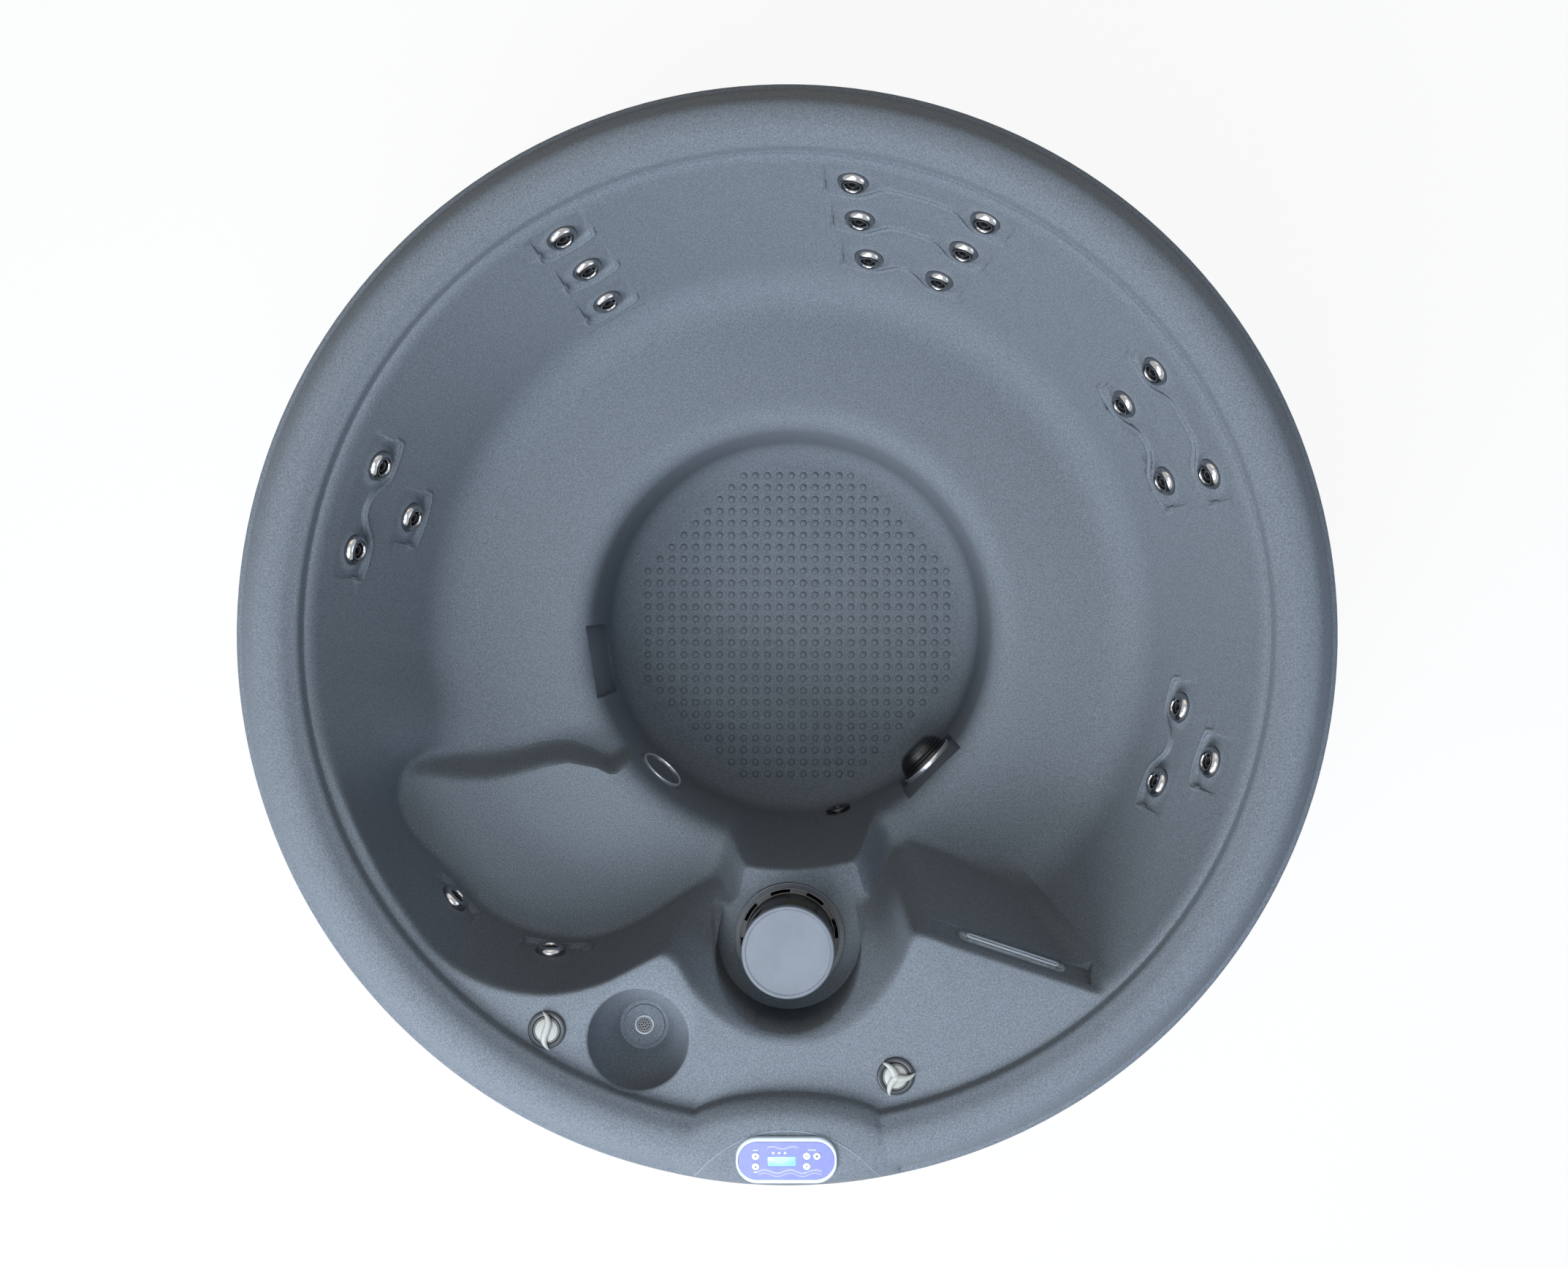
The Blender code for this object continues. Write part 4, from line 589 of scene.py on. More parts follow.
# %% Underside of the shell
def set_back(p, depth):
    """The same run, one wall deeper, mitred at each corner."""
    step = p[:, 1:] - p[:, :-1]
    step = step / np.linalg.norm(step, axis=2, keepdims=True)
    side = np.stack([-step[..., 1], step[..., 0]], -1)
    a, b = side[:, :-1], side[:, 1:]
    scale = depth / np.maximum(1 + (a * b).sum(-1, keepdims=True), 0.5)
    return p[:, 1:-1] + (a + b) * scale


def under_corners(b):
    """Radii and heights of the underside, from inside the rim's lip to the middle of the floor."""
    flat = np.ones_like(b)
    rim = rim_corners(b)
    inner = rim[8][0]
    basin = rounded(rim[-2:] + basin_corners(b), CUTS[8:], (2, 2, 3, 7, 7, 5), (1, 1, 1, 2, 7, 2, 3))
    landing = (RIM - 0.013) * flat
    start = [((OUTER - WALL) * flat, (RIM - BEAD_DROP - WALL) * flat),
             ((OUTER - RIM_WIDTH * 0.34) * flat, landing), (inner + RIM_WIDTH * 0.25, landing)]
    below = set_back(basin, WALL)
    centre = np.broadcast_to(np.array([0.0, FLOOR - WALL]), (len(b), 1, 2))
    return np.concatenate([as_run(start), below, centre], 1)


lip = RIM - LIP_DROP
beyond = [(0.0, -0.05), (OUTER + 0.05, -0.05), (OUTER + 0.05, lip), (OUTER - WALL, lip)]
under = drawn_grid("under", sheet_points(lines, under_corners(lines), beyond))
print("underside:", len(under.data.polygons), "faces")

# %% [markdown]
# ## What is cut into the shell
# The filter bay is a U that opens towards the well. The ice bucket recess is a cup with a small
# rolled edge. Two flat niches stand in the footwell wall, and the rim has a tilted flat for the
# control panel.


# %% Cutters
FACET, FACET_FRONT = 0.196, -0.875
BUCKET_DEPTH = 0.12
NICHES, NICHE_HEIGHT, NICHE_BACK = (315.0, 189.2), 0.19, WELL + 0.006
TILT = shift((0.0, FACET_FRONT, RIM + SWELL_UP)) @ Matrix.Rotation(radians(6.0), 4, "X")
FALL = Matrix(((-0.94959, -0.08422, 0.30198, 0.40868), (0.31351, -0.25508, 0.91468, -0.57934),
               (0.0, 0.96324, 0.26863, 0.788), (0.0, 0.0, 0.0, 1.0)))


def bay(grow):
    """U of the filter bay, larger all round for the underside."""
    radius, front = POCKET_RADIUS + grow, POCKET_FRONT + grow
    ahead = BAY_FRONT + min(grow, WALL)
    outline = [(front, ahead)]
    outline += [(radius * cos(a), FILTER.y + radius * sin(a)) for a in [-pi * i / 36 for i in range(37)]]
    outline += [(-front, ahead)]
    return plate("bay", outline, FILTER.z - grow, 0.94)


def bucket(grow):
    """Cup of the ice bucket recess, with its rolled edge on the upper side only."""
    top, floor, depth = 0.0905 + grow, 0.048 + grow, BUCKET_DEPTH + grow
    profile = [(0.0, -depth), (floor - 0.012, -depth), (floor - 0.003, -depth + 0.003),
               (floor + 0.003, -depth + 0.012), (top - 0.03, -0.09), (top - 0.0127, -0.066),
               (top - 0.004, -0.038), (top, -0.011)]
    if not grow:
        turns = [pi / 12 * i for i in range(1, 6)]
        profile += [(top + 0.006 * (1 - cos(a)), 0.006 * sin(a) - 0.006) for a in turns]
        profile += [(top + 0.006, 0.0006)]
    end = profile[-1][0]
    return placed(turned("bucket", profile + [(end, 0.05), (0.0, 0.05)], 64), shift(BUCKET))


def niche(bearing, grow):
    """Flat-backed niche with a round bottom, standing in the wall of the footwell."""
    half, low = 0.074 + grow, NICHE_HEIGHT
    outline = [(half * cos(a), low + half * sin(a)) for a in [-pi * i / 20 for i in range(21)]]
    outline += [(-half, BENCH + 0.05), (half, BENCH + 0.05)]
    stand = Matrix(((0, 0, 1, 0), (1, 0, 0, 0), (0, 1, 0, 0), (0, 0, 0, 1)))
    turn = Matrix.Rotation(radians(bearing), 4, "Z")
    return placed(plate("niche", outline, 0.2, NICHE_BACK + grow), turn @ stand)


def panel_flat():
    """Tilted disc whose front edge cuts the flat for the control panel."""
    disc = turned("flat", [(0.0, 0.0), (FACET, 0.0), (FACET, 0.05), (0.0, 0.05)], 128)
    return placed(disc, TILT @ shift((0.0, -FACET, 0.0)))


def behind_fall():
    """Block of stock behind the waterfall's strip, which is planar where the wall still curves."""
    return placed(plate("behind", oblong(0.158, 0.04), -0.013, 0.03), FALL)


for cutter in (bay(0.03), bucket(WALL), *(niche(b, WALL) for b in NICHES), behind_fall()):
    boolean(under, cutter, solver="MANIFOLD")
for cutter in (bay(0.0), bucket(0.0), panel_flat(), *(niche(b, 0.0) for b in NICHES)):
    boolean(shell, cutter)
boolean(shell, under)
print("shell:", len(shell.data.polygons), "faces,", round(litres(shell), 1), "litres of plastic")

# %% [markdown]
# ## The wall behind the jets
# Pads and rolls follow the wall, so both need the same things: where a row of jets stands, where a
# place along the row lies on the wall and which way the wall looks there. The lower edge of a pad
# dips under every jet and arches between two of them.

# %% Rows of jets on the wall
ROWS = ((1,), (2,), (3,), (4, 5), (6, 7), (8, 9), (10, 11), (12, 13), (14, 15), (16,), (17, 18),
        (19,), (20,), (21,))
JETS = range(1, 22)
PAD_REACH, PAD_DROP = 0.054, 0.046
wall_lines = np.linspace(-45, 315, 1441)
wall_edge, wall_foot, wall_level, _ = basin_at(wall_lines)
wall_lean = (wall_edge - wall_foot) / (DECK - wall_level)
wall_top = wall_edge - EDGE_DROP * (0.4 + wall_lean)


def jet_seat(number):
    """Middle and axis of a jet, as its joint has them."""
    joint = joints[f"jet_{number:02d}"]
    return np.array(joint["pos_m"]), np.array(joint["axis"])


def wall_place(b, z):
    """Place on the straight part of the wall at bearings and heights."""
    foot, top, level = (np.interp(b, wall_lines, row) for row in (wall_foot, wall_top, wall_level))
    r = foot + (top - foot) * (z - level) / (DECK - EDGE_DROP - level)
    a = np.radians(b)
    return np.stack([r * np.cos(a), r * np.sin(a), z], -1)


def unit(v):
    return v / np.linalg.norm(v, axis=-1, keepdims=True)


def jet_row(numbers):
    """Seats of a row of jets, how far it spreads, and the way from the row to the wall."""
    seats = [jet_seat(n) for n in numbers]
    turns = [(degrees(np.arctan2(q[1], q[0])) + 45) % 360 - 45 for q, _ in seats]
    radius, height = float(np.hypot(*seats[0][0][:2])), float(seats[0][0][2])
    spread = np.radians(max(turns) - min(turns)) * radius
    middle = (max(turns) + min(turns)) / 2
    upright = np.sqrt(1 - seats[0][1][2] ** 2)

    def on_wall(s, v):
        """Places and inward normals at lengths along the row and up from it."""
        b, z = middle + np.degrees(s / radius), height + v * upright
        place = wall_place(b, z)
        across = unit(wall_place(b + 0.1, z) - wall_place(b - 0.1, z))
        up = unit(wall_place(b, z + 0.001) - wall_place(b, z - 0.001))
        normal = np.cross(up, across)
        normal *= np.sign(-(normal * place)[..., :2].sum(-1, keepdims=True))
        return place, normal

    return seats, spread, on_wall


def lower_edge(s, spread):
    dips = np.abs(np.abs(s) - spread / 2)
    arch = 0.04 * ease((dips - 0.012) / 0.062) - PAD_DROP
    return np.where(np.abs(s) < spread / 2, arch, 0.01 * (dips / PAD_REACH) ** 2 - PAD_DROP)


def between(name, bottom, top):
    """Closed body between two sheets, whose edges are bridged."""
    both = joined(name, [drawn_grid(name, bottom), drawn_grid(name, top)])
    edit(both)
    bpy.ops.mesh.select_all(action="DESELECT")
    bpy.ops.mesh.select_non_manifold()
    bpy.ops.mesh.bridge_edge_loops()
    return close_up(both)


print("rows of jets:", len(ROWS))

# %% [markdown]
# ## Pads for the jets
# Each row of jets sits in a shallow wedge that is pressed into the wall. It is deepest along its
# lower edge, where it ends in a narrow ledge, and it fades out above. Round each jet it is flat,
# so that the ring seats on it.

# %% Pads pressed into the wall
PAD_DEPTH, PAD_PROUD = 0.0074, -0.0015


def pad(numbers):
    """Body that the wedge behind a row of jets takes out of the wall."""
    seats, spread, on_wall = jet_row(numbers)
    reach = spread / 2 + PAD_REACH
    s = np.linspace(-reach - 0.01, reach + 0.01, int(2 * reach / 0.0036))
    v, s = np.meshgrid(np.linspace(-0.064, 0.058, 38), s)
    place, normal = on_wall(s, v)
    lower = lower_edge(s, spread)
    slope = np.gradient(lower, axis=0) / np.gradient(s, axis=0)
    rim = (v - lower) / np.sqrt(1 + slope ** 2)
    rim = soft_least(rim, reach - np.abs(s), 0.01) * 1.8
    wedge = PAD_DEPTH * (0.05 - v) / 0.092
    sunk = soft_least(wedge, rim, 0.0008)
    for q, n in seats:
        offset = place - q
        flat = (offset @ n) / (normal @ n)
        away = np.linalg.norm(offset - (offset @ n)[..., None] * n, axis=-1)
        hold = ease((0.043 - away) / 0.012)
        sunk = sunk * (1 - hold) + np.maximum(flat, 0.0003) * hold
    sunk = np.clip(sunk, PAD_PROUD, 0.0075)
    sunk[0], sunk[-1], sunk[:, 0], sunk[:, -1] = (PAD_PROUD,) * 4
    face = place - normal * sunk[..., None]
    proud = np.abs(sunk - PAD_PROUD)[..., None] < 1e-9
    return between("pad", face, np.where(proud, face + normal * 0.012, place + normal * 0.014))


pads = [pad(numbers) for numbers in ROWS]
for group in (pads[0::2], pads[1::2]):
    boolean(shell, joined("pads", group))
print("shell with pads:", len(shell.data.polygons), "faces")

# %% [markdown]
# ## Rolls below the pads
# Under every pad the plastic bulges in a soft roll that turns up a little way at both ends, as
# stretched plastic does beside a pressed hollow. It is a low sheet along a smoothed path, joined
# to the shell.

# %% Rolls below the pads
ROLL_HALF, ROLL_HIGH, ROLL_STEP = 0.0065, 0.003, 0.003


def roll(numbers):
    """Low raised body along the lower edge of a pad."""
    _, spread, on_wall = jet_row(numbers)
    reach = spread / 2 + PAD_REACH
    s = np.linspace(0.004 - reach, reach - 0.004, 90)
    v = lower_edge(s, spread) - 0.006
    climb = np.linspace(0.034, 0.004, 11)
    path = np.stack([np.concatenate([0 * climb - reach - 0.003, s, 0 * climb + reach + 0.003]),
                     np.concatenate([v[0] + climb, v, v[-1] + climb[::-1]])], -1)
    along = np.concatenate([[0], np.cumsum(np.linalg.norm(np.diff(path, axis=0), axis=1))])
    even = np.linspace(0, along[-1], int(along[-1] / ROLL_STEP))
    path = np.stack([np.interp(even, along, path[:, i]) for i in (0, 1)], -1)
    path[2:-2] = sum(path[2 + k:len(path) - 2 + k] for k in (-2, -1, 0, 1, 2)) / 5
    run = np.gradient(path, axis=0)
    inward = np.stack([-run[:, 1], run[:, 0]], -1) / np.linalg.norm(run, axis=1, keepdims=True)
    w = np.linspace(-ROLL_HALF, ROLL_HALF, 9)
    place, normal = on_wall(*(path[:, None, i] + w[None, :] * inward[:, None, i] for i in (0, 1)))
    fade = ease(even / 0.014) * ease((even[-1] - even) / 0.014)
    raised = ROLL_HIGH * fade[:, None] * np.cos(w / ROLL_HALF * pi / 2)[None, :] ** 2 - 0.0004
    return between("roll", place - normal * 0.003, place + normal * raised[..., None])


boolean(shell, joined("rolls", [roll(numbers) for numbers in ROWS]), "UNION")
print("shell with rolls:", len(shell.data.polygons), "faces,", round(litres(shell), 1), "litres of plastic")

# %% [markdown]
# ## Bores
# Every fitting passes through the shell. A jet has a shallow seat that is a hair wider than its
# ring, which leaves the fine dark line round it that the photograph shows.

# %% Bores through the shell
LIGHT = facing((-0.27463, -0.29762, 0.35), (0.65863, 0.75246, 0.0))
DRAIN = facing((0.0963, -0.39504, 0.15), (-0.24281, 0.96933, 0.03793))
SUCTION = facing(polar(NICHE_BACK, NICHES[0], NICHE_HEIGHT), -polar(1.0, NICHES[0]))


def bore(place, seat_radius, seat, radius, sides=40):
    """Drill with a wider seat at its mouth."""
    deep, proud = -0.05, 0.02
    profile = [(0.0, deep), (radius, deep), (radius, -seat), (seat_radius, -seat), (seat_radius, proud),
               (0.0, proud)]
    return placed(turned("bore", profile, sides), place)


bores = [bore(facing(*jet_seat(number)), 0.0293, 0.0045, 0.019) for number in JETS]
bores.append(bore(LIGHT, 0.0483, 0.0015, 0.016))
bores.append(bore(DRAIN, 0.0278, 0.0015, 0.016))
bores.append(bore(SUCTION, 0.031, 0.0, 0.031))
for name in ("knob_left", "knob_right"):
    bores.append(bore(shift(Vector(joints[name]["pos_m"])), 0.0285, 0.0, 0.0285))
bores.append(bore(shift(FILTER), 0.0991, 0.0, 0.0991, 96))
bores.append(bore(shift(BUCKET - Vector((0, 0, BUCKET_DEPTH))), 0.017, 0.0, 0.017))
boolean(shell, joined("bores", bores))
strip = plate("strip", oblong(0.15, 0.032), -0.003, 0.03)
slot = plate("slot", oblong(0.0885, 0.006), -0.05, 0.0)
boolean(shell, placed(boolean(strip, slot, "UNION"), FALL))
shell.data.materials.append(granite)
smooth(shell, 32)
print("shell with bores:", len(shell.data.polygons), "faces")

# %% [markdown]
# ## Line round the panel's flat
# Where the flat for the control panel meets the crown of the rim, the photograph shows a fine
# light line. It is a bead of a millimetre that is laid on the shell, in a lighter copy of the
# shell's finish that paints the highlight on that edge, and each of its sections is found by a ray
# from above.

# %% Line round the panel's flat
bead = []
for turn in np.radians(np.linspace(14, 166, 141)):
    x, y = FACET * cos(turn), FACET_FRONT - FACET + FACET * sin(turn)
    hit, top, normal, _ = shell.ray_cast((x, y, 1.0), (0, 0, -1))
    if hit and top.z > 0.845 and top.to_2d().length < 0.98:
        out = Vector((cos(turn), sin(turn), 0.0))
        bead.append([top + 0.001 * (out * cos(a) + normal * sin(a)) for a in np.linspace(0, 2 * pi, 9)])
line = drawn_grid("facet_line", np.array(bead))
# Painted highlight: the bead is lighter than the shell round it.
line.data.materials.append(granite_painted_highlight)
smooth(line, 60)
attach(line, "tub")
print("facet line:", len(bead), "sections")

# %% [markdown]
# ## The finished shell
# The soft shell rides on the body of the tub and stands in the picture for the rigid one.

# %% Shell in its place
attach(shell, "tub")
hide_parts("tub_shell")
print("shell finished:", sum(len(p.vertices) - 2 for p in shell.data.polygons), "triangles")

# %% [markdown]
# ## Grip on the floor
# The footwell has 532 low buttons on a square grid with its corners left off, against slipping.
# One button is turned and then copied to every place, and they make one piece. The low outer band
# of each button gets a darker granite, which paints the shade at its foot.

# %% Floor buttons
PITCH = 0.0265
counts = [10 + 2 * i for i in range(8)] + [26] * 10 + [24 - 2 * i for i in range(8)]
button = turned("button", mm([(7.9, -0.6), (7.8, 0.3), (6.6, 0.4), (6, 1.6), (4.4, 2.6), (0, 2.9)]), 12)
shape = np.array([v.co for v in button.data.vertices])
faces = [tuple(p.vertices) for p in button.data.polygons]
bpy.data.objects.remove(button)
places = [(0.006 + (i - (count - 1) / 2) * PITCH, 0.004 + (12.5 - row) * PITCH)
          for row, count in enumerate(counts) for i in range(count)]
corners = np.concatenate([shape + (x, y, FLOOR) for x, y in places])
sheet = bpy.data.meshes.new("floor_buttons")
copies = [tuple(i + k * len(shape) for i in face) for k in range(len(places)) for face in faces]
sheet.from_pydata(corners.tolist(), [], copies)
buttons = bpy.data.objects.new("floor_buttons", sheet)
bpy.context.scene.collection.objects.link(buttons)
sheet.materials.append(granite)
sheet.materials.append(granite_painted_shade)
# Painted shade: faces of the outer band at the button's foot take the darker granite.
outer = [max(np.hypot(*shape[i][:2]) for i in face) > 0.0067 for face in faces]
sheet.polygons.foreach_set("material_index", np.tile(np.array(outer, np.int32), len(places)))
smooth(buttons, 50)
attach(buttons, "tub")
print("buttons:", len(places))

# %% [markdown]
# ## Jets
# A jet is a domed chrome ring with a dark nozzle ball deep inside. It is turned once and copied to
# all 21 places, where the joints of the frame say how it stands.

# %% Jets
ring = turned("ring", mm([(17, -24), (18, -24), (18, -4.2), (28.4, -4.2), (28.5, 0.6), (27.9, 3.2),
                          (26.4, 6.2), (24, 8.8), (21.2, 10.4), (18.2, 11), (15.8, 10.6), (14.3, 9.2),
                          (13.7, 7), (13.5, -8), (17, -24)]), 40)
ring.data.materials.append(chrome)
smooth(ring, 40)
ball = turned("ball", mm([(0, -12), (13.4, -12), (13.4, -1), (12.2, 2.2), (10, 4.6), (7.8, 5.6), (6.6, 5),
                          (6, 2), (5.6, -8), (0, -8.5)]), 28)
ball.data.materials.append(black)
smooth(ball, 50)
for number in JETS:
    for base, word, finish in ((ring, "jet_ring", "chrome"), (ball, "jet_ball", "black_plastic")):
        copy = copy_of(base, f"{word}_{number:02d}")
        placed(copy, facing(*jet_seat(number)))
        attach(copy, f"jet_{number:02d}")
        if base is ring:
            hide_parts(f"jet_{number:02d}")
bpy.data.objects.remove(ring)
bpy.data.objects.remove(ball)
print("jets placed:", len(JETS))

# %% [markdown]
# ## Helpers for the fittings
# Most fittings stand in the place of one CAD node. A finished piece rides on the body that carries
# it, takes the node's place in the picture, and gets its finish and its slot in one go. The blades
# of the handles and the rounded outlines of plates are drawn here too.

# %% Helpers for fittings
SEAT_GAP = 0.0003


def fitted(obj, body, finish, instead=None, place=None, angle=38):
    """Give a piece its place, finish and body, and the CAD node that it stands for."""
    if place is not None:
        placed(obj, place)
    obj.data.materials.clear()
    obj.data.materials.append(finish)
    smooth(obj, angle)
    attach(obj, body)
    if instead:
        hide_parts(instead)
    return obj


def blade(name, spine, widths, low, high, around=16):
    """Crowned lobe along a spine: oval sections that narrow to both ends."""
    spine, widths = np.array(spine), np.array(widths)
    along = unit(np.gradient(spine, axis=0))
    side = np.stack([along[:, 1], -along[:, 0]], -1)
    turn = np.linspace(0, 2 * pi, around + 1)
    share = (widths / widths.max()) ** 0.5
    middle, half = (low + high) / 2, (high - low) / 2
    flat = spine[:, None] + side[:, None] * (widths[:, None] * np.cos(turn))[..., None]
    z = middle - half + half * share[:, None] * (1 + np.sin(turn))
    return drawn_grid(name, np.concatenate([flat, z[..., None]], -1))


def rounded_plate(length, width, corner, steps=12):
    """Outline of an oblong with round corners."""
    far, wide = length / 2 - corner, width / 2 - corner
    outline = []
    for sx, sy, start in ((1, 1, 0), (-1, 1, 90), (-1, -1, 180), (1, -1, 270)):
        angles = [radians(start + 90 * i / steps) for i in range(steps + 1)]
        outline += [(sx * far + x, sy * wide + y) for x, y in arc(corner, angles)]
    return outline


print("fitting helpers ready")

# %% [markdown]
# ## Drain of the ice bucket recess
# A moulded disc in the colour of the shell, a chrome ring and a dark strainer with drilled holes.
# The disc is turned, the ring is turned in chrome, and the strainer is a thin round plate from
# which small drills take their holes.

# %% Bucket drain
bucket_floor = shift(BUCKET - Vector((0, 0, BUCKET_DEPTH - SEAT_GAP)))
disc = turned("bucket_drain_disc", mm([(15.4, -30), (16.3, -30), (16.3, 0), (38.4, 0), (38.4, 1.2),
                                       (37.4, 2.8), (36, 3.1), (19.2, 3), (19, 1.2), (15.4, 1.2),
                                       (15.4, -30)]), 64)
fitted(disc, "tub", granite, "bucket_drain", bucket_floor)
ring = turned("bucket_drain_ring", mm([(13.8, 1.3), (18.7, 1.3), (18.7, 3.1), (18, 4.2), (16.6, 4.8),
                                       (15, 4.3), (14, 3), (13.8, 1.3)]), 48)
fitted(ring, "tub", silver, "bucket_drain", bucket_floor)
strainer = turned("bucket_strainer", mm([(0, 0.4), (13.7, 0.4), (13.7, 2), (0, 2.4)]), 36)
drills = []
for radius, count in ((0.0045, 6), (0.0095, 12)):
    for i in range(count):
        a = 2 * pi * i / count
        drill = turned("drill", mm([(0, -2), (1.2, -2), (1.2, 6), (0, 6)]), 10)
        drills.append(placed(drill, shift((radius * cos(a), radius * sin(a), 0.0))))
fitted(boolean(strainer, joined("drills", drills)), "tub", black, "bucket_drain", bucket_floor)
print("bucket drain:", len(strainer.data.polygons), "faces in the strainer")

# %% [markdown]
# ## Suction cover
# The pump draws its water through a black dome with stepped louvres on a satin flange. A real one
# is injection moulded. Its louvres run right round, so one turned profile with a step for each
# louvre gives them all.

# %% Suction cover
cover = mm([(0, -30), (29, -30), (29, 0), (60, 0), (60, 9)])
for radius, height in ((0.059, 0.013), (0.057, 0.019), (0.0545, 0.025), (0.051, 0.031), (0.0465, 0.037),
                       (0.04, 0.042)):
    cover += [(radius, height), (radius - 0.001, height + 0.0016), (radius - 0.0042, height + 0.0014),
              (radius - 0.0046, height + 0.0026)]
cover += mm([(33, 46.2), (22, 47.6), (0, 48)])
fitted(turned("suction_dome", cover, 72), "tub", black, "suction_cover", SUCTION, 50)
flange = mm([(56, 0.3), (64, 0.3), (64, 6), (63.4, 8.2), (62, 9.2), (60.4, 8.8), (60, 6), (56, 0.3)])
fitted(turned("suction_flange", flange, 96), "tub", silver, "suction_cover", SUCTION)
print("suction cover:", len(cover), "points in its profile")

# %% [markdown]
# ## Footwell light
# A satin rim round a smoked lens, on a low foot in the colour of the shell. The photograph shows a
# wider oval than an upright lens would give, so it looks a little upwards. All three pieces are
# turned and then tilted together.

# %% Footwell light
up_there = LIGHT.to_3x3().inverted() @ Vector((0.0, 0.0, 1.0))
LIGHT_AXIS = up_there.cross(Vector((0.0, 0.0, 1.0))).normalized()
lens_grey = finish_of("lens_grey", (0.085, 0.09, 0.098), 0.22, slot="clear_plastic", Coat_Weight=0.4)
rim = mm([(13, -30), (15, -30), (15, 0), (47.5, 0), (47.5, 3.4), (46.8, 5.6), (45.2, 6.6), (43.6, 6),
          (43, 4.4), (43, 1), (13, 1), (13, -30)])
tilted = LIGHT @ Matrix.Rotation(radians(-12.0), 4, LIGHT_AXIS) @ shift((0.0, 0.0, 0.0072))
fitted(turned("light_rim", rim, 72), "tub", silver, "footwell_light", tilted)
pedestal = mm([(0, -22), (47.8, -22), (47, 0.2), (0, 0.2)])
fitted(turned("light_pedestal", pedestal, 72), "tub", granite, "footwell_light", tilted)
lens = mm([(0, 1.2), (42.9, 1.2), (42.9, 4), (40, 5), (38.8, 4.6), (37.6, 5.2), (25, 7), (12, 7.8), (0, 8)])
fitted(turned("light_lens", lens, 72), "tub", lens_grey, "footwell_light", tilted)
print("footwell light: rim, foot, lens")

# %% [markdown]
# ## Floor drain
# The tub is emptied through a small black eye low on the footwell's wall. It is one turned piece
# with a rounded lip and a flat middle.

# %% Floor drain
eye = mm([(0, -30), (15, -30), (15, 0), (27, 0), (26.8, 3), (25.5, 5), (22.5, 6), (15, 5.8), (11.5, 4.6),
          (10.5, 1.6), (0, 1.6)])
fitted(turned("floor_drain_eye", eye, 48), "tub", black, "floor_drain", DRAIN, 50)
print("floor drain:", len(eye), "points in its profile")

# %% [markdown]
# ## Waterfall fitting
# A clear round-ended plate with a long slot, held by two domed screws. A pale lip stands round the
# slot: frosted plastic, made paler still as a painted highlight on the slot's edges. A black plate
# deep in the slot is painted shade. A real fitting is injection moulded, so its edges are rounded; a
# bevel modifier rounds them before the slot is cut.

# %% Waterfall
seat = FALL @ shift((0.0, 0.0, -0.0027))
spout = bevelled(plate("waterfall_plate", rounded_plate(0.205, 0.03, 0.0148), 0.0, 0.005), 0.0014, 3)
tongue = plate("tongue", rounded_plate(0.176, 0.0116, 0.005, 4), -0.034, 0.002)
boolean(spout, tongue, "UNION")
boolean(spout, plate("mouth", rounded_plate(0.17, 0.0098, 0.0044, 4), -0.06, 0.02))
fitted(spout, "tub", clear, "waterfall_spout", seat)
# Pale lip: partly frosted plastic, partly a painted highlight along the slot's edges.
frost_and_highlight = finish_of("frosted_lip_and_highlight", (0.62, 0.67, 0.72), 0.3, slot="clear_plastic")
lip = boolean(plate("waterfall_lip", rounded_plate(0.1765, 0.0152, 0.0072, 8), 0.0044, 0.0076),
              plate("mouth", rounded_plate(0.1705, 0.0102, 0.0046, 6), 0.0, 0.02))
fitted(bevelled(lip, 0.0005), "tub", frost_and_highlight, "waterfall_spout", seat)
# Painted shade: a black plate lies deep in the slot to darken it.
throat_shade = plate("waterfall_throat_shade", rounded_plate(0.1698, 0.0096, 0.0043, 4), -0.0075, -0.006)
fitted(throat_shade, "tub", black, "waterfall_spout", seat)
for side in (-1, 1):
    place = seat @ shift((side * 0.0905, 0.0, 0.0))
    dome = mm([(0, 4.9), (9, 4.9), (8.8, 6.2), (7.2, 8.2), (4, 9.3), (0, 9.6)])
    fitted(turned("waterfall_screw", dome, 28), "tub", clear, "waterfall_spout", place)
    core = mm([(0, 8), (3.4, 8), (3.4, 9.4), (2.2, 9.9), (0, 9.9)])
    fitted(turned("waterfall_core", core, 6), "tub", chrome, "waterfall_spout", place)
print("waterfall: plate, lip, throat, two screws")

# %% [markdown]
# ## Diverter valves
# A handle on the deck turns the water from one group of jets to another. A dark collar stands round
# a brown skirt with a beige disc in it. The three are turned once and copied to both places, and
# the skirt and the disc turn with the handle.

# %% Valves
collar = turned("collar", mm([(0, -50), (27.4, -50), (27.4, 0), (34, 0), (34, 2.6), (33, 4.4), (31.2, 5.8),
                              (29.6, 6), (29, 4.6), (26.2, 4.4), (25.2, 3.8), (24.7, 2.6), (24.7, -29.9),
                              (0, -29.9)]), 72)
collar_grey = finish_of("collar_grey", (0.04, 0.042, 0.048), 0.42, slot="black_plastic",
                        grains=(300, 0.9, 1.1))
cap = turned("cap", mm([(0, -29), (20.5, -29), (20.9, 5), (20.5, 6.2), (19.6, 6.8), (0, 7.4)]), 64)
skirt = turned("skirt", mm([(20, -29.4), (23.6, -29.4), (24, 4), (23.6, 5), (21.5, 5.4), (20.9, 4.6),
                            (20, -29.4)]), 64)
skirt_brown = finish_of("skirt_brown", (0.105, 0.098, 0.095), 0.45, slot="pale_plastic",
                        grains=(240, 0.9, 1.1))
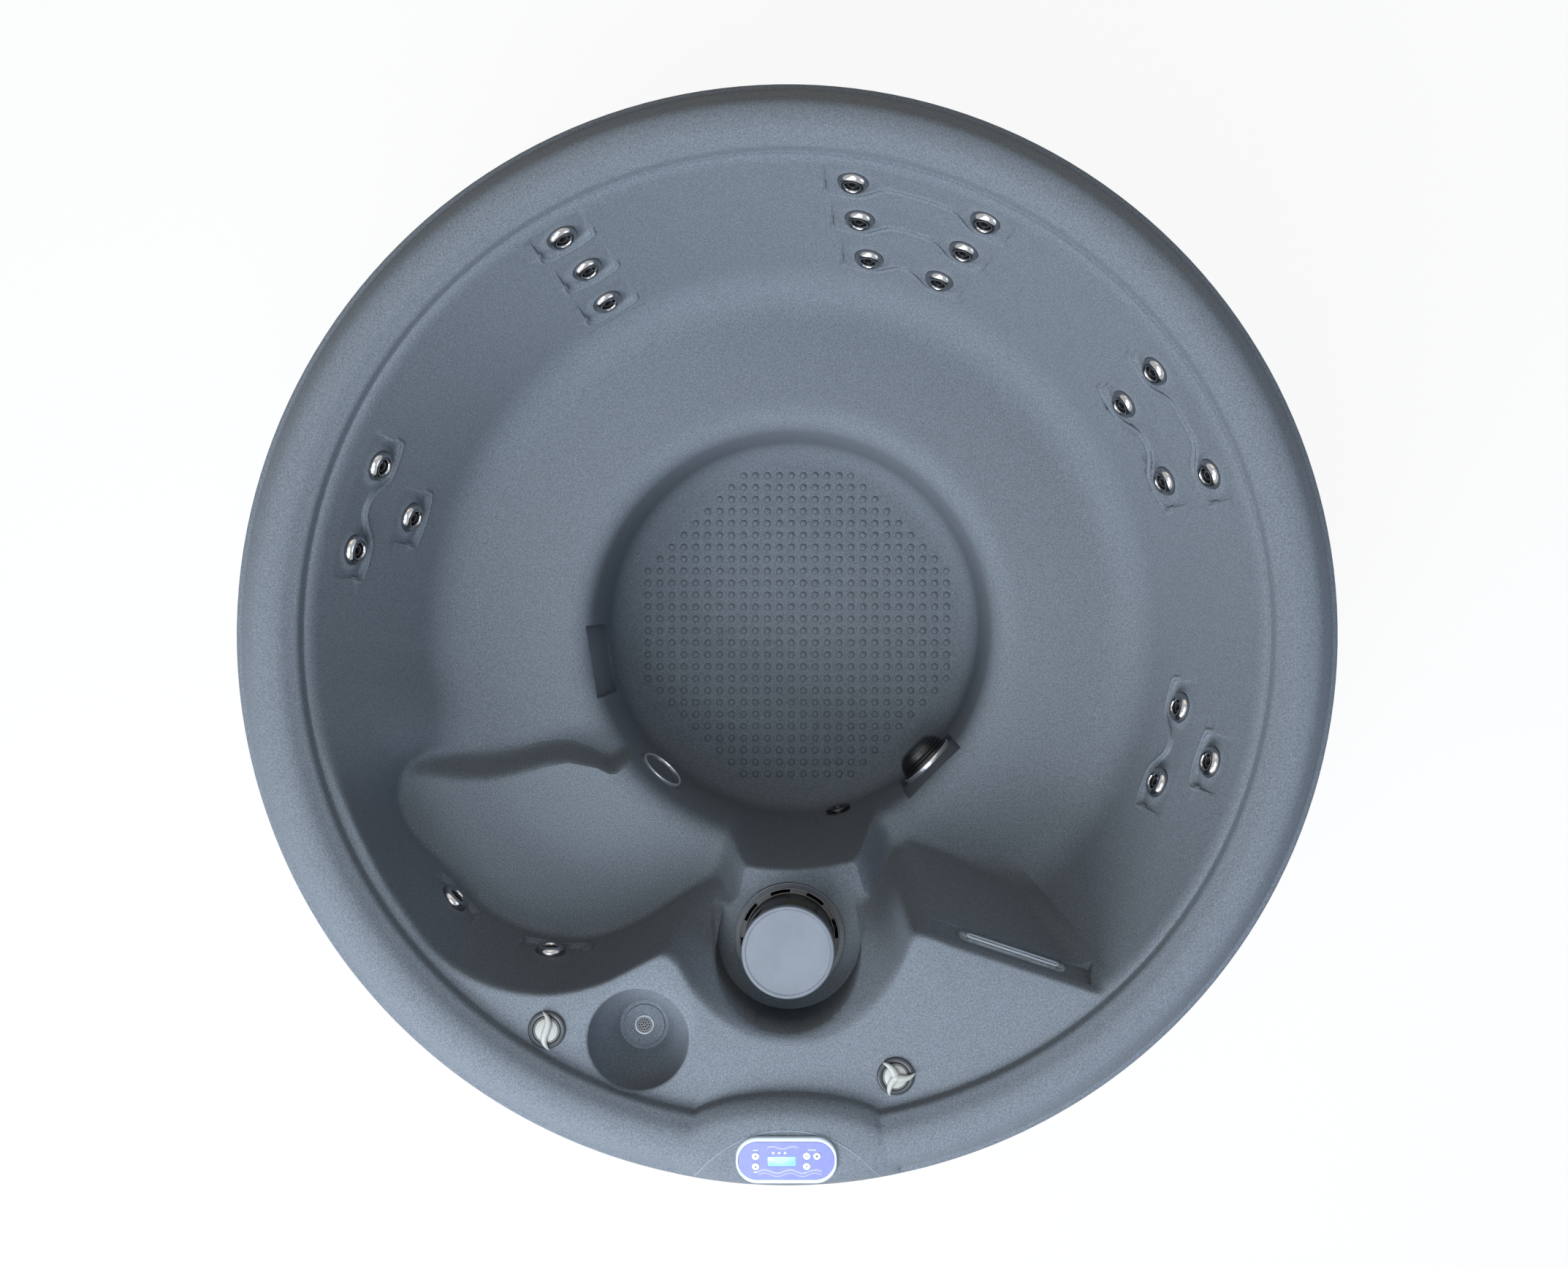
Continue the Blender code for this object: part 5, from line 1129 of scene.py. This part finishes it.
for side in ("left", "right"):
    handle = f"knob_{side}"
    place = shift(Vector(joints[handle]["pos_m"]))
    fitted(copy_of(collar, f"valve_collar_{side}"), "tub", collar_grey, f"valve_{side}", place)
    fitted(copy_of(skirt, f"knob_skirt_{side}"), handle, skirt_brown, handle, place)
    fitted(copy_of(cap, f"knob_cap_{side}"), handle, pale, handle, place)
for base in (collar, cap, skirt):
    bpy.data.objects.remove(base)
print("valves: 2 collars, 2 skirts, 2 discs")

# %% [markdown]
# ## Handles
# The left handle is one S-shaped blade with pointed ends. The right handle has three swept arms on
# a small hub. Each blade is a run of oval sections along a curved line, so that it is full in the
# middle and thin at its tips.

# %% Handles
t = np.linspace(-1, 1, 41)
spine = np.stack([0.0044 * np.sin(pi * t * 0.95) - 0.0072 * np.sign(t) * np.abs(t) ** 3.5, 0.0348 * t], -1)
widths = 0.0066 * np.maximum(1 - np.abs(t) ** 2.2, 0.0) ** 0.85 + 0.0004
made = blade("knob_blade_left", spine, widths, 0.006, 0.0164)
fitted(made, "knob_left", pale, "knob_left", shift(Vector(joints["knob_left"]["pos_m"])), 60)
t = np.linspace(0, 1, 25)
arms = []
for base in (12.0, 132.0, 252.0):
    turn = np.radians(base - 26 + 26 * t ** 1.5)
    reach = 0.0345 * t
    spine = np.stack([reach * np.cos(turn), reach * np.sin(turn)], -1)
    arms.append(blade("arm", spine, 0.0064 * (1 - t ** 1.6) ** 0.8 + 0.0013, 0.006, 0.016, 14))
arms.append(turned("hub", mm([(0, 6), (7.8, 6), (8, 11), (6.8, 14.5), (4, 16.1), (0, 16.4)]), 36))
made = joined("knob_arms_right", arms)
fitted(made, "knob_right", pale, "knob_right", shift(Vector(joints["knob_right"]["pos_m"])), 60)
print("handles:", len(made.data.polygons), "faces in the three arms")

# %% [markdown]
# ## Filter housing
# The guide ring is dark, and its two edges catch the light in thin lines. Inside it a lower step has
# eight slots with grey-brown tabs between them. The ring and the step are turned, small blocks cut
# the slots, and the lit edges are painted highlights: two thin tori in a pale grey.


# %% Filter housing
def sectors(count, first, half, radii, heights):
    """Blocks spaced evenly round the axis, each reaching half an angle to both sides."""
    made = []
    for i in range(count):
        span = [2 * pi / count * i + first + half * (k / 5 - 1) for k in range(11)]
        made.append(plate("sector", arc(radii[0], span) + arc(radii[1], span[::-1]), *heights))
    return joined("sectors", made)


housing = shift(FILTER + Vector((0.0, 0.0, SEAT_GAP)))
guide = mm([(0, -240), (98.4, -240), (98.4, 0), (105.5, 0), (105.5, 4.2), (104.7, 5.6), (103.6, 5.8),
            (102.8, 5), (95.8, 4.8), (95, 5.8), (94, 5.8), (93.6, 5), (93.6, -237), (0, -237)])
fitted(turned("filter_guide", guide, 96), "tub", dark_ring, "filter_housing", housing)
step = turned("filter_step", mm([(84.8, -3), (93.5, -3), (93.5, 0.8), (84.8, 2), (84.8, -3)]), 96)
slots = sectors(8, 0.2, 0.21, (0.0866, 0.0929), (-0.01, 0.01))
fitted(boolean(step, slots), "tub", tab_brown, "filter_housing", housing)
# Painted highlight: pale grey tori lie on the guide's two edges where they catch the light.
edge_painted_highlight = finish_of("edge_painted_highlight", (0.42, 0.42, 0.43), 0.3, slot="black_plastic")
for radius in (0.1041, 0.0944):
    bpy.ops.mesh.primitive_torus_add(location=(0, 0, 0), major_radius=radius, minor_radius=0.0006,
                                     major_segments=128, minor_segments=8)
    edge = bpy.context.object
    edge.name = "filter_edge_highlight"
    placed(edge, shift((0, 0, 0.0058)))
    fitted(edge, "tub", edge_painted_highlight, "filter_housing", housing)
print("filter housing: guide, step, two edges")

# %% [markdown]
# ## Weir and lid
# The weir is a black sleeve that floats in the guide, so that the water runs in over its edge and
# through five windows. The lid lies on it, a satin disc with a fine raised ring near its edge.

# %% Weir and lid
sleeve = mm([(80, -70), (83.8, -70), (84, 130), (83.4, 132), (80.8, 132), (80, 130), (80, -70)])
sleeve = turned("weir_sleeve", sleeve, 80)
windows = sectors(5, 0.0, 0.377, (0.076, 0.092), (0.039, 0.116))
fitted(boolean(sleeve, windows), "filter_weir", black, "filter_weir", housing)
lid = mm([(0, -8), (79, -8), (79, 0), (85, 0), (85.9, 1.2), (86, 10.8), (85.3, 13.2), (83.8, 14.7),
          (81.5, 15.2), (79.5, 15), (78.7, 15.6), (77.8, 15.6), (77, 14.8), (50, 14.8), (0, 15)])
place = shift(FILTER + Vector((0.0, 0.0, 0.1326)))
fitted(turned("lid_disc", lid, 128), "filter_lid", lid_grey, "filter_lid", place, 24)
print("weir and lid: 2 pieces")

# %% [markdown]
# ## Control panel
# A pale bezel with a rounded section lies on the flat of the rim. It is a grid of rounded outlines,
# one inside the other, that rise and fall as a moulded frame does.

# %% Bezel
PANEL = TILT @ shift((0.0, -0.0515, SEAT_GAP))
LENGTH, WIDTH, CORNER, BORDER, FACE_TOP = 0.179, 0.085, 0.038, 0.008, 0.0062
levels = ((0.0, 0.0), (0.0, 0.003), (0.0006, 0.0052), (0.002, 0.0068), (0.004, 0.0075), (0.006, 0.0071),
          (0.0076, 0.006), (BORDER, 0.0048), (BORDER, 0.003))
rows = []
for inset, z in levels:
    outline = rounded_plate(LENGTH - 1.15 * inset, WIDTH - 2 * inset, CORNER - 0.5 * inset)
    rows.append([(x, y, z) for x, y in outline + outline[:1]])
middle = [[(0.0, 0.0, 0.0)] * len(rows[0])]
top = [[(0.0, 0.0, 0.003)] * len(rows[0])]
frame_body = drawn_grid("panel_frame", np.array(middle + rows + top))
fitted(frame_body, "tub", panel_white, "panel_bezel", PANEL, 30)
print("bezel:", len(levels), "outlines")

# %% [markdown]
# ## Face and window
# The violet face plate lies in the bezel. One Boolean cuts the places for the pale cyan window and
# the five buttons, since the cutters are joined first.

# %% Face and window
face = plate("panel_face", rounded_plate(LENGTH - 0.0098, WIDTH - 0.0166, 0.0338), 0.0033, FACE_TOP)
CENTRES = [(x * LENGTH, y * WIDTH) for x, y in
           ((-0.305, 0.095), (-0.305, -0.125), (0.2, 0.1), (0.3, 0.1), (0.2, -0.12))]
holes = []
for x, y in CENTRES:
    hole = turned("hole", mm([(0, 0), (7, 0), (7, 20), (0, 20)]), 32)
    holes.append(placed(hole, shift((x, y, 0.0))))
glass = (-0.046 * LENGTH, -0.021 * WIDTH)
hole = plate("hole", rounded_plate(0.0506, 0.0186, 0.0012, 3), 0.0, 0.02)
holes.append(placed(hole, shift((*glass, 0.0))))
fitted(boolean(face, joined("holes", holes)), "tub", violet, "panel_overlay", PANEL)
window = bevelled(plate("panel_window", rounded_plate(0.05, 0.018, 0.001, 3), 0.0033, 0.006), 0.0004)
fitted(window, "tub", display, "panel_display", PANEL @ shift((*glass, 0.0)))
print("face: openings for", len(CENTRES), "buttons and a window")

# %% [markdown]
# ## Marks of no maker
# The panel of this lesson has plain marks of its own: a wave band, a few short bars and dots.
# They are very thin plates that lie on the face, where a real panel is printed.

# %% Marks
violet_light = finish_of("violet_light", (0.36, 0.36, 0.7), 0.35, slot="panel_violet")


def mark(name, outline, body, finish, place, low=FACE_TOP, high=FACE_TOP + 0.0002):
    """Low plate of its own colour on the face or on a button."""
    made = placed(plate(name, outline, low, high), PANEL @ shift((*place, 0.0)))
    return fitted(made, body, finish)


def ribbon(start, end, height, waves, half):
    """Outline of a wave band between two x places."""
    xs = np.linspace(start, end, 41)
    ys = height * np.sin(2 * pi * waves * (xs - start) / (end - start))
    return [(x, y - half) for x, y in zip(xs, ys)] + [(x, y + half) for x, y in zip(xs[::-1], ys[::-1])]


for y, half, high in ((-0.02, 0.0017, 0.0064), (-0.0258, 0.0011, 0.00642)):
    band = ribbon(-0.05, 0.062, 0.003, 2.5, half)
    mark("panel_wave", band, "tub", violet_light, (0.0, y), high=high)
mark("panel_wave", ribbon(-0.034, 0.02, 0.0022, 1.5, 0.0013), "tub", violet_light, (0.0, 0.0235))
for x, y, wide in ((-0.0546, 0.019, 0.0085), (-0.0546, -0.0212, 0.0075), (0.0447, 0.0195, 0.015),
                   (0.0358, -0.0208, 0.0075)):
    mark("panel_bar", rounded_plate(wide, 0.0014, 0.0006, 2), "tub", print_white, (x, y))
for i in range(3):
    place = (-0.0235 + 0.0105 * i, 0.014)
    mark("panel_dot", rounded_plate(0.0042, 0.0042, 0.00205, 4), "tub", print_white, place)
print("marks: 3 waves, 4 bars, 3 dots")

# %% [markdown]
# ## Buttons
# Five white caps rise through the face. Each carries a simple dark shape that moves with it when
# it is pressed.

# %% Buttons
knob = turned("button", mm([(0, 4.3), (6.5, 4.3), (6.5, 6.8), (6, 7.4), (0, 7.5)]), 32)
shapes = (mm([(0, 3.4), (-2.4, -1), (2.4, -1)]), mm([(0, -3.4), (2.4, 1), (-2.4, 1)]),
          ribbon(-0.0036, 0.0036, 0.0009, 1.5, 0.0007), rounded_plate(0.0044, 0.0044, 0.0021, 4),
          rounded_plate(0.0054, 0.0016, 0.0007, 3))
for number, (centre, shape) in enumerate(zip(CENTRES, shapes), 1):
    copy = copy_of(knob, f"button_cap_{number}")
    place = PANEL @ shift((*centre, 0.0))
    fitted(copy, f"panel_button_{number}", button_white, f"panel_button_{number}", place)
    mark(f"button_mark_{number}", shape, f"panel_button_{number}", print_dark, centre, 0.0074, 0.00765)
bpy.data.objects.remove(knob)
print("buttons:", len(CENTRES))

# %% [markdown]
# ## Finishes of the rigid pieces that stay visible
# The cabinet, its frame and what stands inside it need no finer form. They keep the shapes of the
# frame and get their own finishes: the skirt a dark synthetic, the frame timber, the pump and
# its pipes their plain plastics and metals.

# %% Finishes of the rigid pieces
skirt_grey = finish_of("skirt_grey", (0.085, 0.092, 0.102), 0.6, slot="granite_plastic",
                       grains=(420, 0.75, 1.25, 0.0008))
for name, finish in (("skirt_front", skirt_grey), ("skirt_left", skirt_grey), ("skirt_right", skirt_grey),
                     ("skirt_back", skirt_grey), ("access_door", skirt_grey), ("base_pan", black),
                     ("cabinet_frame", timber), ("footwell_pad", foam), ("pump_motor", motor),
                     ("pump_wet_end", black), ("heater_tube", steel), ("control_box", dark_ring),
                     ("suction_pipe", pipe), ("jet_plumbing", pipe), ("filter_cartridge", foam)):
    node = bpy.data.objects[name]
    node.data.materials.clear()
    node.data.materials.append(finish)
print("finished rigid pieces: 15")

# %% [markdown]
# ## Floor and backdrop
# The photograph is a cut-out on white. The floor and the backdrop look white to the camera and in
# reflections, but they throw no such light on the tub: for all other rays there is a plain floor
# and a faint sky.

# %% Floor and backdrop
WHITE = (1, 1, 1, 1)
bpy.ops.mesh.primitive_plane_add(size=14)
floor = bpy.context.object
floor.name = "floor"
floor_white = finish_of("floor_white", (0.86, 0.87, 0.88), 0.8)
floor.data.materials.append(floor_white)
world = bpy.data.worlds.new("daylight")
bpy.context.scene.world = world
world.use_nodes = True
tree = world.node_tree
sky = tree.nodes["Background"]
with_inputs(sky, Color=(0.8, 0.88, 1.0, 1), Strength=0.03)
backdrop = added(tree, "Background", Color=WHITE, Strength=1.0)


def seen_white(tree, plain, white, target):
    """Camera, glossy and transmission rays see the white, all others the plain shader."""
    path = added(tree, "LightPath")
    seen = path.outputs["Is Camera Ray"]
    for other in ("Is Glossy Ray", "Is Transmission Ray"):
        either = added(tree, "Math")
        either.operation = "MAXIMUM"
        tree.links.new(path.outputs[other], either.inputs[0])
        tree.links.new(seen, either.inputs[1])
        seen = either.outputs[0]
    mix = added(tree, "MixShader")
    tree.links.new(seen, mix.inputs["Fac"])
    tree.links.new(plain, mix.inputs[1])
    tree.links.new(white, mix.inputs[2])
    tree.links.new(mix.outputs["Shader"], target)


surface = tree.nodes["World Output"].inputs["Surface"]
seen_white(tree, sky.outputs["Background"], backdrop.outputs["Background"], surface)
tree = floor_white.node_tree
plain = tree.nodes["Principled BSDF"].outputs["BSDF"]
glow = added(tree, "Emission", Color=WHITE, Strength=1.0)
veil = added(tree, "MixShader", Fac=0.92)
tree.links.new(plain, veil.inputs[1])
tree.links.new(glow.outputs["Emission"], veil.inputs[2])
seen_white(tree, plain, veil.outputs["Shader"], tree.nodes["Material Output"].inputs["Surface"])


print("floor and backdrop are ready")

# %% [markdown]
# ## Light
# The photograph is lit by soft daylight from the lower left, with a bluish fill. Large area lights
# throw the same soft shadows. A warm one behind the tub and a blue one beside it give the walls
# their tints.


# %% Lights
def softbox(name, place, energy, size, colour):
    """Square area light that looks at the middle of the tub."""
    aim = Vector((0, 0, 0.6))
    bpy.ops.object.light_add(type="AREA", location=place)
    made = bpy.context.object
    made.name = name
    made.data.energy, made.data.size, made.data.color = energy, size, colour
    made.rotation_euler = (aim - Vector(place)).to_track_quat("-Z", "Y").to_euler()
    return made


softbox("key", (-2.75, -3.6, 4.1), 328, 3.0, (0.82, 0.9, 1.0))
softbox("above", (-0.7, -0.6, 5.6), 104, 3.0, (0.76, 0.89, 1.0))
softbox("near_deck", (-0.5, -2.2, 3.9), 60, 1.6, (0.82, 0.9, 1.0))
softbox("back", (0.0, 4.0, 4.0), 28, 3.0, (1.0, 0.79, 0.47))
softbox("side", (2.7, -0.4, 2.2), 20, 1.6, (0.6, 0.75, 1.0))

# %% [markdown]
# ## Camera
# The camera hangs almost straight above the tub, as the photographer's did. Its lens and shift
# put the rim where the photograph has it.

# %% Camera
bpy.ops.object.camera_add(location=(0.07, 0.075, 4.13), rotation=(0, 0, 0))
camera = bpy.context.object
camera.data.sensor_width = 36
camera.data.lens = 42.06
camera.data.shift_x = -0.0269
camera.data.shift_y = -0.0263
bpy.context.scene.camera = camera
bpy.context.scene.view_settings.view_transform = "Standard"
print("camera at", tuple(camera.location))
